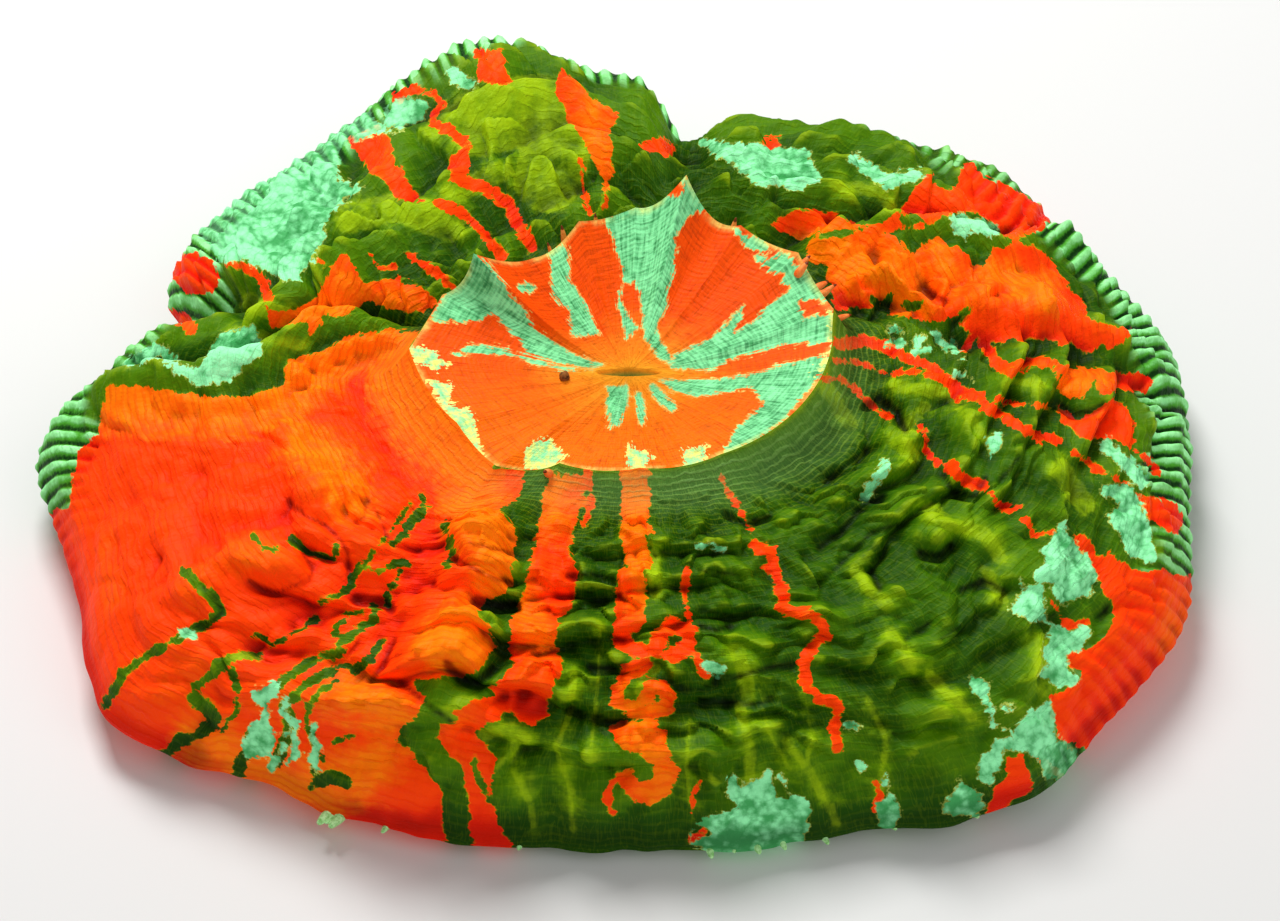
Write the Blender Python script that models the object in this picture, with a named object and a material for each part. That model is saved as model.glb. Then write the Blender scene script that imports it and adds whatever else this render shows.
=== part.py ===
"""Meat coral: a single large fleshy polyp, cut off flat underneath where it sat in the gravel.

The polyp is one body. An oval oral disc with a slit mouth is stretched between pointed corners,
a thick wrinkled mantle falls away from it all round, and the mantle ends in a lobed, ribbed margin
that curls under to a flat foot. Lengths are in millimetres until the mesh is made, which is in metres.
The frame's origin is on the floor under the middle of the body, +X to the right and +Z up.
"""

import itertools
import math

import bmesh
import bpy
import numpy as np

MM = 0.001

# Where the mouth stands over the floor, and where it lies from the middle of the body.
MOUTH_X = 1.5
MOUTH_Y = -9.5
MOUTH_HEIGHT = 22.0

# The mouth is a slit along X with raised lips.
MOUTH_HALF_LENGTH = 3.7
MOUTH_HALF_WIDTH = 0.55
MOUTH_DEPTH = 2.2
LIP_HEIGHT = 0.6

# Corners of the oral disc: angle in degrees round the mouth, distance from it, height over the floor,
# and how far the rim sags in and down before the next corner.
DISC_CORNERS = (
    (-156, 20.9, 23.4, 0.4),
    (-136, 20.3, 22.3, 0.9),
    (-120, 15.3, 22.0, 0.2),
    (-85, 14.0, 22.0, 0.2),
    (-50, 16.0, 22.4, -0.4),
    (8, 23.3, 24.4, 0.3),
    (17, 24.4, 25.6, 0.6),
    (35.5, 23.9, 28.0, 0.7),
    (54, 22.0, 28.6, 2.0),
    (73, 22.6, 33.0, 1.3),
    (88, 20.6, 28.8, 0.6),
    (108, 18.8, 29.2, 1.0),
    (130, 17.0, 28.0, 1.0),
    (149, 20.6, 31.0, 1.0),
    (157, 23.2, 26.0, 0.4),
    (175, 25.0, 24.2, 0.6),
)

# Outline of the margin seen from above: angle in degrees round the mouth, and distance from it.
MARGIN_OUTLINE = (
    (-172, 66.2),
    (-165, 64.9),
    (-157, 65.8),
    (-147, 66.8),
    (-140, 62.4),
    (-132, 58.0),
    (-121, 55.6),
    (-112, 53.4),
    (-100, 50.8),
    (-86, 50.7),
    (-74, 52.2),
    (-63, 54.2),
    (-54, 58.8),
    (-43, 63.0),
    (-35, 62.8),
    (-20, 65.8),
    (-6, 64.6),
    (3, 65.7),
    (15, 67.2),
    (28, 65.3),
    (42, 65.4),
    (52, 62.6),
    (59, 57.6),
    (68, 53.2),
    (77, 51.0),
    (81, 49.8),
    (83.5, 51.8),
    (86, 56.2),
    (94, 63.9),
    (103, 71.4),
    (112, 70.4),
    (125, 66.6),
    (139, 64.3),
    (149, 64.4),
    (155, 62.0),
    (159, 57.2),
    (162, 60.4),
    (169, 64.4),
    (179, 68.8),
)

# The mantle from the disc's rim (1) over the margin (2) to the middle of the foot (3): how far out
# it is, as a share of the way from the rim to the margin, and its height in front, at the sides and behind.
MANTLE_PROFILE = (
    (1.05, 0.055, 20.6, 20.6, 21.5),
    (1.12, 0.12, 19.6, 18.6, 17.0),
    (1.28, 0.27, 18.6, 18.4, 17.2),
    (1.45, 0.44, 17.6, 19.0, 20.4),
    (1.65, 0.64, 15.4, 17.6, 20.6),
    (1.80, 0.79, 12.4, 15.0, 17.6),
    (1.90, 0.89, 9.4, 12.6, 13.8),
    (1.96, 0.965, 6.0, 10.6, 11.4),
    (2.00, 1.00, 3.4, 8.2, 9.2),
    (2.15, 0.99, 1.7, 5.4, 6.2),
    (2.35, 0.94, 0.5, 2.4, 2.8),
    (2.60, 0.88, 0.0, 0.0, 0.0),
)

# Furrows across the mantle. Each runs through points given as distance from the mouth and angle round
# it, and has a depth, a width, and the height of the lip on the side of the smaller angle and on the other.
FURROWS = (
    (((42, 160), (52, 161), (60, 160), (70, 159)), 4.4, 3.0, 0.0, 0.0),
    (((25, 151), (34, 156), (40, 165), (44, 171), (50, 173), (64, 172)), 3.4, 2.4, 0.0, 3.2),
    (((32, 78), (45, 81), (58, 82)), 4.6, 3.2, 0.0, 1.2),
    (((28, 58), (37, 48), (44, 39), (48, 31), (55, 31), (66, 34)), 2.6, 2.4, 2.8, 0.0),
    (((27, 31), (34, 24), (36, 14), (44, 8), (50, 9), (60, 5)), 1.6, 2.2, 0.0, 1.6),
    (((36, -134), (50, -138), (66, -140)), 1.6, 2.6, 0.0, 0.8),
)

# Rounded swellings of the mantle: angle round the mouth, distance from it, half width and height.
SWELLINGS = (
    (-127, 23.0, 3.0, 1.4),
    (-122, 29.0, 3.6, 3.2),
    (-118, 36.0, 3.8, 3.2),
    (-115, 43.5, 5.2, 4.2),
    (-141, 37.0, 4.6, 1.8),
    (-156, 39.0, 7.5, 1.6),
    (-150, 52.0, 6.0, 1.4),
    (-80, 37.0, 3.6, 1.2),
    (-30, 46.0, 7.0, 1.4),
    (-12, 40.0, 5.0, 1.2),
    (112, 52.0, 9.0, 1.6),
)

# Terraced folds that run round the mantle and drop off towards the margin: how many there are from rim
# to margin, how far their line wanders, and their height and lean outwards.
FOLDS_OUT = 6.6
FOLD_WANDER = 1.1
FOLD_HEIGHT = 2.3
FOLD_LEAN = 1.0
FOLD_DROP_SHARE = 0.3

# Ribs across the margin. The real ones are about three times as many.
MARGIN_RIBS = 60
RIB_HEIGHT = 0.55

# Meridians and rings of the faceted body. Ring shares say where in the profile the rings lie.
MERIDIANS = 120
RINGS = 41
RING_SHARES = (0.0, 3 / 41, 7 / 41, 28 / 41, 31 / 41, 35 / 41, 40 / 41, 1.0)
RING_STATIONS = (0.0, 0.15, 1.0, 1.9, 2.0, 2.35, 2.6, 3.0)

FLESH_COLOUR = (0.30, 0.12, 0.01, 1.0)
FLESH_ROUGHNESS = 0.5


def smooth_curve(at, stations, values):
    """A cubic curve through values at rising stations, read at every number in at."""
    stations = np.asarray(stations, float)
    values = np.asarray(values, float)
    slopes = np.gradient(values, stations)
    index = np.clip(np.searchsorted(stations, at) - 1, 0, len(stations) - 2)
    step = stations[index + 1] - stations[index]
    share = np.clip((at - stations[index]) / step, 0.0, 1.0)
    rise = share * share * (3 - 2 * share)
    lead = share * (1 - share) ** 2 * step * slopes[index]
    trail = share * share * (share - 1) * step * slopes[index + 1]
    return values[index] * (1 - rise) + values[index + 1] * rise + lead + trail


def round_curve(angles, stations, values):
    """The same for a closed outline, with angles in degrees."""
    turns = np.concatenate([np.asarray(stations, float) + turn for turn in (-360.0, 0.0, 360.0)])
    return smooth_curve(angles, turns, np.tile(values, 3))


def smooth_noise(points):
    """Gradient noise, about -1 to 1, at each row of points. The same points always give the same noise."""
    cell = np.floor(points)
    part = points - cell
    ease = part * part * part * (part * (part * 6 - 15) + 10)
    total = np.zeros(len(points))
    for corner in itertools.product((0.0, 1.0), repeat=3):
        key = (cell + corner) @ np.array((127.1, 311.7, 74.7))
        slope = np.stack([np.sin(key * n) * 43758.5453 % 1.0 for n in (1.0, 1.7, 2.3)], axis=1) * 2 - 1
        weight = np.prod(np.where(corner, ease, 1 - ease), axis=1)
        total += weight * np.sum(slope * (part - corner), axis=1)
    return total * 1.4


def on_cylinder(angles, out, cells_around, cells_out, shift=0.0):
    """Places for the noise that close up round the polyp: angles in degrees, out from rim to margin."""
    radius = cells_around / math.tau
    turn = np.radians(angles)
    return np.stack([radius * np.cos(turn), radius * np.sin(turn), out * cells_out + shift], axis=1)


def disc_rim(angles):
    """Distance from the mouth and height of the disc's rim, which hangs between its corners."""
    corners = np.array(DISC_CORNERS, float)
    stations = np.append(corners[:, 0], corners[0, 0] + 360)
    around = (angles - stations[0]) % 360 + stations[0]
    index = np.clip(np.searchsorted(stations, around, side="right") - 1, 0, len(corners) - 1)
    after = (index + 1) % len(corners)
    share = (around - stations[index]) / (stations[index + 1] - stations[index])
    sag = corners[index, 3] * 4 * share * (1 - share)
    distance = corners[index, 1] * (1 - share) + corners[after, 1] * share - sag * 0.5
    height = corners[index, 2] * (1 - share) + corners[after, 2] * share - sag
    return distance, height


def disc_surface(angles, station):
    """Distance and height on the oral disc, from the mouth (0) to the rim (1)."""
    rim_distance, rim_height = disc_rim(angles)
    turn = np.radians(angles)
    slit = 1 / np.hypot(np.cos(turn) / MOUTH_HALF_LENGTH, np.sin(turn) / MOUTH_HALF_WIDTH)
    lips = 0.15
    beyond = np.clip((station - lips) / (1 - lips), 0.0, 1.0)
    inside = np.clip(station / lips, 0.0, 1.0)
    distance = np.where(station < lips, slit * inside, slit + (rim_distance - slit) * beyond)
    floor = MOUTH_HEIGHT + (rim_height - MOUTH_HEIGHT) * beyond**1.7
    lip = LIP_HEIGHT * np.exp(-((beyond / 0.14) ** 2))
    height = floor + lip - MOUTH_DEPTH * (1 - inside**2)
    return distance, height


def furrow_height(angles, distance, out):
    """Height added by the furrows and the lips beside them."""
    total = np.zeros(len(angles))
    for points, depth, width, lip_below, lip_above in FURROWS:
        distances, middles = zip(*points)
        middle = np.interp(distance, distances, middles)
        aside = np.radians((angles - middle + 180) % 360 - 180) * distance
        starts = np.clip((distance - distances[0]) / 5.0, 0.0, 1.0)
        trench = starts * np.clip((1.06 - out) / 0.1, 0.0, 1.0)
        lip = starts * np.clip((0.98 - out) / 0.2, 0.0, 1.0)
        total -= trench * depth * np.exp(-((aside / width) ** 2))
        total += lip * lip_below * np.exp(-(((aside + 1.7 * width) / (1.4 * width)) ** 2))
        total += lip * lip_above * np.exp(-(((aside - 1.7 * width) / (1.4 * width)) ** 2))
    return total


def swelling_height(angles, distance):
    """Height added by the rounded swellings."""
    total = np.zeros(len(angles))
    for angle, away, half_width, height in SWELLINGS:
        turn = np.radians(angles - angle)
        gap = distance**2 + away**2 - 2 * distance * away * np.cos(turn)
        total += height * np.exp(-gap / half_width**2)
    return total


def folds(angles, out):
    """Height of the terraced folds: each rises outwards and drops into the crease before the next."""
    wander = smooth_noise(on_cylinder(angles, out, 13.0, 2.5, shift=7.3))
    share = (out * FOLDS_OUT + wander * FOLD_WANDER) % 1.0
    rise = np.clip(share / (1 - FOLD_DROP_SHARE), 0.0, 1.0)
    drop = np.clip((1 - share) / FOLD_DROP_SHARE, 0.0, 1.0)
    strength = np.clip(0.55 + 1.1 * smooth_noise(on_cylinder(angles, out, 17.0, 5.0, shift=3.1)), 0.15, 1.0)
    fade = np.clip((out - 0.08) / 0.2, 0.0, 1.0) * np.clip((0.98 - out) / 0.16, 0.0, 1.0)
    return FOLD_HEIGHT * strength * rise * drop * (2 - drop) * fade


def mantle_surface(angles, station):
    """Distance and height on the mantle, from the rim (1) over the margin (2) to the foot (2.6)."""
    rim_distance, rim_height = disc_rim(angles)
    margin = round_curve(angles, *zip(*MARGIN_OUTLINE))
    rows = np.array(MANTLE_PROFILE)
    stations = np.concatenate([[1.0], rows[:, 0]])
    share = smooth_curve(station, stations, np.concatenate([[0.0], rows[:, 1]]))
    facing = np.sin(np.radians(angles))
    front = np.clip(-facing, 0.0, 1.0) ** 1.5
    back = np.clip(facing, 0.0, 1.0) ** 1.5
    side = 1 - front - back
    below_rim = np.concatenate([[1.0], np.zeros(len(rows))])
    height = sum(
        weight * smooth_curve(station, stations, np.concatenate([[0.0], rows[:, column]]))
        for weight, column in ((front, 2), (side, 3), (back, 4))
    )
    height += rim_height * smooth_curve(station, stations, below_rim)
    distance = rim_distance + (margin - rim_distance) * share
    out = np.clip(station - 1, 0.0, 1.0)
    fold = folds(angles, out)
    rib = RIB_HEIGHT * np.cos(np.radians(angles) * MARGIN_RIBS) * np.exp(-(((station - 2.0) / 0.12) ** 2))
    height += fold + furrow_height(angles, distance, out) + swelling_height(angles, distance)
    distance += fold * FOLD_LEAN * np.clip(out * 1.4, 0.0, 1.0) + rib
    return distance, np.maximum(height, 0.0)


def body_surface(angles, station):
    """Distance from the mouth's axis and height over the floor anywhere on the body."""
    disc = disc_surface(angles, station)
    mantle = mantle_surface(angles, np.clip(station, 1.0, 2.6))
    distance = np.where(station <= 1.0, disc[0], mantle[0])
    height = np.where(station <= 1.0, disc[1], mantle[1])
    foot_share = np.clip((3.0 - station) / 0.4, 0.0, 1.0)
    return distance * foot_share, np.where(station >= 2.6, 0.0, height)


def make_body():
    """The polyp's mesh: a sphere's rings and meridians laid over the body's surface."""
    shape = bmesh.new()
    bmesh.ops.create_uvsphere(shape, u_segments=MERIDIANS, v_segments=RINGS, radius=1.0)
    ball = np.array([vertex.co for vertex in shape.verts], float)
    angles = np.degrees(np.arctan2(ball[:, 1], ball[:, 0]))
    down = np.arccos(np.clip(ball[:, 2], -1.0, 1.0)) / math.pi
    station = np.interp(down, RING_SHARES, RING_STATIONS)
    distance, height = body_surface(angles, station)
    turn = np.radians(angles)
    for vertex, r, a, z in zip(shape.verts, distance, turn, height):
        vertex.co = (
            (MOUTH_X + r * math.cos(a)) * MM,
            (MOUTH_Y + r * math.sin(a)) * MM,
            z * MM,
        )
    bmesh.ops.recalc_face_normals(shape, faces=shape.faces)
    bmesh.ops.triangulate(shape, faces=shape.faces)
    mesh = bpy.data.meshes.new("polyp")
    shape.to_mesh(mesh)
    shape.free()
    mesh.shade_smooth()
    return mesh


def flesh_material():
    """Mean colour of the orange and green flesh."""
    material = bpy.data.materials.new("flesh")
    material.use_nodes = True
    shader = material.node_tree.nodes["Principled BSDF"]
    shader.inputs["Base Color"].default_value = FLESH_COLOUR
    shader.inputs["Roughness"].default_value = FLESH_ROUGHNESS
    shader.inputs["Metallic"].default_value = 0.0
    return material


def main():
    for old in list(bpy.data.objects):
        bpy.data.objects.remove(old)
    collection = bpy.data.collections.new("meat_coral")
    bpy.context.scene.collection.children.link(collection)
    polyp = bpy.data.objects.new("polyp", make_body())
    polyp.data.materials.append(flesh_material())
    collection.objects.link(polyp)


main()
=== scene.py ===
"""The looks of the meat coral: its flesh, markings, ribbed margin, tentacles, and a plain studio.

Lengths are in millimetres until a mesh is written, which is in metres. A place on the polyp is an
angle in degrees round the mouth and a station: 0 in the mouth, 1 at the rim of the oral disc, 2 at
the margin, 2.6 at the edge of the foot and 3 in its middle. Outlines of the markings are in pixels of
the 1280 by 921 photograph, and the photograph's camera lays them on the body.
"""

import itertools
import logging
import math
from collections.abc import Callable, Sequence
from dataclasses import dataclass
from enum import Enum

import bmesh
import bpy
import numpy as np
from mathutils import Matrix, Vector


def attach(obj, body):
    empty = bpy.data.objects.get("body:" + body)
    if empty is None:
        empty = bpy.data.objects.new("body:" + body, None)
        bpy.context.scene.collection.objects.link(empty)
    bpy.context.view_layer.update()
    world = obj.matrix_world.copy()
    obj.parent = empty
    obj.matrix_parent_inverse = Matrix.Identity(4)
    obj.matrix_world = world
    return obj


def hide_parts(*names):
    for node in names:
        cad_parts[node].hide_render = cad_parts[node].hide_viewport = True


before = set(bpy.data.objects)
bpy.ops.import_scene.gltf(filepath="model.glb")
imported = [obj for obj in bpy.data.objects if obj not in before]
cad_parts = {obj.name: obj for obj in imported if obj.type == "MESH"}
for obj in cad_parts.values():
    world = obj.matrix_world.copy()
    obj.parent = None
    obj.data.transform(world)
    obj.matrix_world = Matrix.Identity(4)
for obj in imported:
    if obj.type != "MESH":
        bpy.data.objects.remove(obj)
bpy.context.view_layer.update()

MM = 0.001
BODY = "root"
NODE = "polyp"

Pixel = tuple[float, float]
Colour = tuple[float, float, float]


def srgb(red: float, green: float, blue: float) -> Colour:
    """A linear colour from the 0 to 255 values that a screen shows.

    Args:
        red: Red on the screen.
        green: Green on the screen.
        blue: Blue on the screen.

    Returns:
        The linear red, green and blue.
    """
    shares = (value / 255 for value in (red, green, blue))
    return tuple(share / 12.92 if share <= 0.04045 else ((share + 0.055) / 1.055) ** 2.4 for share in shares)


def smooth_curve(at: np.ndarray, stations: Sequence[float], values: Sequence[float]) -> np.ndarray:
    """A cubic curve through values at rising stations.

    Args:
        at: Where the curve is read.
        stations: Where the values are given.
        values: The values that the curve goes through.

    Returns:
        The curve's value at each number in at.
    """
    stations = np.asarray(stations, float)
    values = np.asarray(values, float)
    slopes = np.gradient(values, stations)
    index = np.clip(np.searchsorted(stations, at) - 1, 0, len(stations) - 2)
    step = stations[index + 1] - stations[index]
    share = np.clip((at - stations[index]) / step, 0.0, 1.0)
    rise = share * share * (3 - 2 * share)
    lead = share * (1 - share) ** 2 * step * slopes[index]
    trail = share * share * (share - 1) * step * slopes[index + 1]
    return values[index] * (1 - rise) + values[index + 1] * rise + lead + trail


def round_curve(angles: np.ndarray, outline: Sequence[tuple[float, float]]) -> np.ndarray:
    """A closed curve of distance over angle.

    Args:
        angles: Where the curve is read, in degrees.
        outline: Pairs of angle and value.

    Returns:
        The curve's value at each angle.
    """
    stations, values = zip(*outline)
    turns = np.concatenate([np.asarray(stations, float) + turn for turn in (-360.0, 0.0, 360.0)])
    return smooth_curve(angles, turns, np.tile(values, 3))


def smooth_noise(points: np.ndarray) -> np.ndarray:
    """Gradient noise that is the same at the same points each time.

    Args:
        points: One row of three numbers for each place.

    Returns:
        A number from about -1 to 1 for each place.
    """
    cell = np.floor(points)
    part = points - cell
    ease = part * part * part * (part * (part * 6 - 15) + 10)
    total = np.zeros(len(points))
    for corner in itertools.product((0.0, 1.0), repeat=3):
        key = (cell + corner) @ np.array((127.1, 311.7, 74.7))
        slope = np.stack([np.sin(key * n) * 43758.5453 % 1.0 for n in (1.0, 1.7, 2.3)], axis=1) * 2 - 1
        weight = np.prod(np.where(corner, ease, 1 - ease), axis=1)
        total += weight * np.sum(slope * (part - corner), axis=1)
    return total * 1.4


def ring_noise(angles: np.ndarray, out: np.ndarray, around: float, across: float, shift: float) -> np.ndarray:
    """Noise that closes up round the polyp.

    Args:
        angles: Angles round the mouth, in degrees.
        out: Shares of the way from the disc's rim to the margin.
        around: Cells of the noise round the polyp.
        across: Cells of the noise from rim to margin.
        shift: Moves the noise, so that each use differs.

    Returns:
        A number from about -1 to 1 for each place.
    """
    radius = around / math.tau
    turn = np.radians(angles)
    along = out * across + shift
    return smooth_noise(np.stack([radius * np.cos(turn), radius * np.sin(turn), along], axis=1))


def ramp(values: np.ndarray, start: float, end: float) -> np.ndarray:
    """A straight rise from 0 at start to 1 at end."""
    return np.clip((values - start) / (end - start), 0.0, 1.0)


@dataclass(frozen=True)
class Furrow:
    """A furrow across the mantle, with the lips beside it.

    Attributes:
        points: Distance from the mouth and angle round it, from the disc outwards.
        depth: How deep it is.
        width: Half its width.
        lip_below: Height of the lip on the side of the smaller angle.
        lip_above: Height of the lip on the other side.
    """

    points: tuple[tuple[float, float], ...]
    depth: float
    width: float
    lip_below: float = 0.0
    lip_above: float = 0.0

    def height(self, angles: np.ndarray, distance: np.ndarray, out: np.ndarray) -> np.ndarray:
        """Height that the furrow and its lips add.

        Args:
            angles: Angles round the mouth, in degrees.
            distance: Distances from the mouth.
            out: Shares of the way from rim to margin.

        Returns:
            The height added at each place.
        """
        distances, middles = zip(*self.points)
        aside = np.radians((angles - np.interp(distance, distances, middles) + 180) % 360 - 180) * distance
        starts = ramp(distance, distances[0], distances[0] + 5.0)
        trench = starts * ramp(out, 1.06, 0.96)
        lip = starts * ramp(out, 0.98, 0.78)
        below = np.exp(-(((aside + 1.7 * self.width) / (1.4 * self.width)) ** 2))
        above = np.exp(-(((aside - 1.7 * self.width) / (1.4 * self.width)) ** 2))
        total = -trench * self.depth * np.exp(-((aside / self.width) ** 2))
        return total + lip * (self.lip_below * below + self.lip_above * above)


@dataclass(frozen=True)
class PolypForm:
    """The form of the polyp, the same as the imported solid's, with the fine relief that the solid lacks."""

    mouth: tuple[float, float, float] = (1.5, -9.5, 22.0)
    mouth_half_length: float = 3.7
    mouth_half_width: float = 0.55
    mouth_depth: float = 2.2
    lip_height: float = 0.6
    lip_station: float = 0.15
    # Corners of the disc: angle, distance, height, and the sag of the rim before the next corner.
    corners: tuple[tuple[float, float, float, float], ...] = (
        (-156, 20.9, 23.4, 0.4), (-136, 20.3, 22.3, 0.9), (-120, 15.3, 22.0, 0.2), (-85, 14.0, 22.0, 0.2),
        (-50, 16.0, 22.4, -0.4), (8, 23.3, 24.4, 0.3), (17, 24.4, 25.6, 0.6), (35.5, 23.9, 28.0, 0.7),
        (54, 22.0, 28.6, 2.0), (73, 22.6, 33.0, 1.3), (88, 20.6, 28.8, 0.6), (108, 18.8, 29.2, 1.0),
        (130, 17.0, 28.0, 1.0), (149, 20.6, 31.0, 1.0), (157, 23.2, 26.0, 0.4), (175, 25.0, 24.2, 0.6),
    )
    # Outline of the margin from above: angle and distance.
    outline: tuple[tuple[float, float], ...] = (
        (-172, 66.2), (-165, 64.9), (-157, 65.8), (-147, 66.8), (-140, 62.4), (-132, 58.0), (-121, 55.6),
        (-112, 53.4), (-100, 50.8), (-86, 50.7), (-74, 52.2), (-63, 54.2), (-54, 58.8), (-43, 63.0),
        (-35, 62.8), (-20, 65.8), (-6, 64.6), (3, 65.7), (15, 67.2), (28, 65.3), (42, 65.4), (52, 62.6),
        (59, 57.6), (68, 53.2), (77, 51.0), (81, 49.8), (83.5, 51.8), (86, 56.2), (94, 63.9), (103, 71.4),
        (112, 70.4), (125, 66.6), (139, 64.3), (149, 64.4), (155, 62.0), (159, 57.2), (162, 60.4),
        (169, 64.4), (179, 68.8),
    )
    # Station, share of the way from rim to margin, and height in front, at the sides and behind.
    profile: tuple[tuple[float, ...], ...] = (
        (1.05, 0.055, 20.6, 20.6, 21.5), (1.12, 0.12, 19.6, 18.6, 17.0), (1.28, 0.27, 18.6, 18.4, 17.2),
        (1.45, 0.44, 17.6, 19.0, 20.4), (1.65, 0.64, 15.4, 17.6, 20.6), (1.80, 0.79, 12.4, 15.0, 17.6),
        (1.90, 0.89, 9.4, 12.6, 13.8), (1.96, 0.965, 6.0, 10.6, 11.4), (2.00, 1.00, 3.4, 8.2, 9.2),
        (2.15, 0.99, 1.7, 5.4, 6.2), (2.35, 0.94, 0.5, 2.4, 2.8), (2.60, 0.88, 0.0, 0.0, 0.0),
    )
    furrows: tuple[Furrow, ...] = (
        Furrow(((42, 160), (52, 161), (60, 160), (70, 159)), 4.4, 3.0),
        Furrow(((25, 151), (34, 156), (40, 165), (44, 171), (50, 173), (64, 172)), 3.4, 2.4, lip_above=3.2),
        Furrow(((32, 78), (45, 81), (58, 82)), 4.6, 3.2, lip_above=1.2),
        Furrow(((28, 58), (37, 48), (44, 39), (48, 31), (55, 31), (66, 34)), 2.6, 2.4, lip_below=2.8),
        Furrow(((27, 31), (34, 24), (36, 14), (44, 8), (50, 9), (60, 5)), 1.6, 2.2, lip_above=1.6),
        Furrow(((36, -134), (50, -138), (66, -140)), 1.6, 2.6, lip_above=0.8),
    )
    # Rounded swellings: angle, distance, half width and height.
    swellings: tuple[tuple[float, float, float, float], ...] = (
        (-127, 23.0, 3.0, 1.4), (-122, 29.0, 3.6, 3.2), (-118, 36.0, 3.8, 3.2), (-115, 43.5, 5.2, 4.2),
        (-141, 37.0, 4.6, 1.8), (-156, 39.0, 7.5, 1.6), (-150, 52.0, 6.0, 1.4), (-80, 37.0, 3.6, 1.2),
        (-30, 46.0, 7.0, 1.4), (-12, 40.0, 5.0, 1.2), (112, 52.0, 9.0, 1.6),
    )
    folds_out: float = 6.6
    fold_wander: float = 1.1
    fold_height: float = 2.3
    fold_lean: float = 1.0
    fold_drop: float = 0.3
    # Between the broad folds: the fine terraces, the soft lobes and the wrinkles of the skin.
    terraces_out: float = 10.5
    terrace_height: float = 1.5
    terrace_drop: float = 0.16
    lobe_height: float = 1.2
    wrinkle_height: float = 0.16
    drape_depth: float = 0.75
    ribs: int = 186
    # Degrees by which the ribs sweep back over each unit of station at the sides.
    rib_sweep: float = 30.0
    band_start: float = 1.87
    rib_height: float = 0.85
    # Station where the ribbed band starts, over the angle.
    rib_starts: tuple[tuple[float, float], ...] = (
        (-178, 1.84), (-168, 1.9), (-40, 1.91), (-22, 1.88), (-8, 1.84), (6, 1.82), (20, 1.75), (32, 1.67),
        (44, 1.67), (56, 1.73), (70, 1.78), (84, 1.71), (100, 1.68), (118, 1.68), (140, 1.73), (155, 1.77),
        (170, 1.8),
    )
    # How strongly the margin is ribbed, over the angle.
    rib_strengths: tuple[tuple[float, float], ...] = (
        (-176, 1.0), (-170, 0.3), (-165, 0.12), (-44, 0.12), (-36, 0.5), (-18, 0.6), (-10, 1.0), (34, 1.0),
        (42, 0.6), (55, 0.7), (78, 1.0), (84, 1.0), (156, 1.0), (161, 0.7), (172, 1.0), (180, 1.0),
    )

    def disc_rim(self, angles: np.ndarray) -> tuple[np.ndarray, np.ndarray]:
        """The rim of the disc, which hangs between its corners.

        Args:
            angles: Angles round the mouth, in degrees.

        Returns:
            Distance from the mouth and height over the floor.
        """
        corners = np.array(self.corners, float)
        stations = np.append(corners[:, 0], corners[0, 0] + 360)
        around = (angles - stations[0]) % 360 + stations[0]
        index = np.clip(np.searchsorted(stations, around, side="right") - 1, 0, len(corners) - 1)
        after = (index + 1) % len(corners)
        share = (around - stations[index]) / (stations[index + 1] - stations[index])
        sag = corners[index, 3] * 4 * share * (1 - share)
        distance = corners[index, 1] * (1 - share) + corners[after, 1] * share - sag * 0.5
        height = corners[index, 2] * (1 - share) + corners[after, 2] * share - sag
        return distance, height

    def disc(self, angles: np.ndarray, station: np.ndarray) -> tuple[np.ndarray, np.ndarray]:
        """The oral disc, from the mouth to the rim.

        Args:
            angles: Angles round the mouth, in degrees.
            station: Stations from 0 to 1.

        Returns:
            Distance from the mouth and height over the floor.
        """
        rim_distance, rim_height = self.disc_rim(angles)
        turn = np.radians(angles)
        slit = 1 / np.hypot(np.cos(turn) / self.mouth_half_length, np.sin(turn) / self.mouth_half_width)
        beyond = ramp(station, self.lip_station, 1.0)
        inside = ramp(station, 0.0, self.lip_station)
        distance = np.where(station < self.lip_station, slit * inside, slit + (rim_distance - slit) * beyond)
        floor = self.mouth[2] + (rim_height - self.mouth[2]) * beyond**1.7
        lip = self.lip_height * np.exp(-((beyond / 0.14) ** 2))
        height = floor + lip - self.mouth_depth * (1 - inside**2)
        return distance, height + self.pleats(angles, beyond)

    def pleats(self, angles: np.ndarray, beyond: np.ndarray) -> np.ndarray:
        """Height of the shallow radial pleats of the disc.

        Args:
            angles: Angles round the mouth, in degrees.
            beyond: Shares of the way from the lips to the rim.

        Returns:
            The height added at each place.
        """
        broad = ring_noise(angles, beyond, 40.0, 0.6, 2.2) * 0.35
        narrow = ring_noise(angles, beyond, 130.0, 2.0, 5.1) * 0.14
        return (broad + narrow) * np.sin(np.pi * np.clip(beyond, 0.0, 1.0)) ** 0.5

    def broad_folds(self, angles: np.ndarray, out: np.ndarray) -> np.ndarray:
        """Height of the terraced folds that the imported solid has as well.

        Args:
            angles: Angles round the mouth, in degrees.
            out: Shares of the way from rim to margin.

        Returns:
            The height added at each place.
        """
        wander = ring_noise(angles, out, 13.0, 2.5, 7.3)
        share = (out * self.folds_out + wander * self.fold_wander) % 1.0
        rise = np.clip(share / (1 - self.fold_drop), 0.0, 1.0)
        drop = np.clip((1 - share) / self.fold_drop, 0.0, 1.0)
        strength = np.clip(0.55 + 1.1 * ring_noise(angles, out, 17.0, 5.0, 3.1), 0.15, 1.0)
        fade = ramp(out, 0.08, 0.28) * ramp(out, 0.98, 0.82)
        return self.fold_height * strength * rise * drop * (2 - drop) * fade

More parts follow.
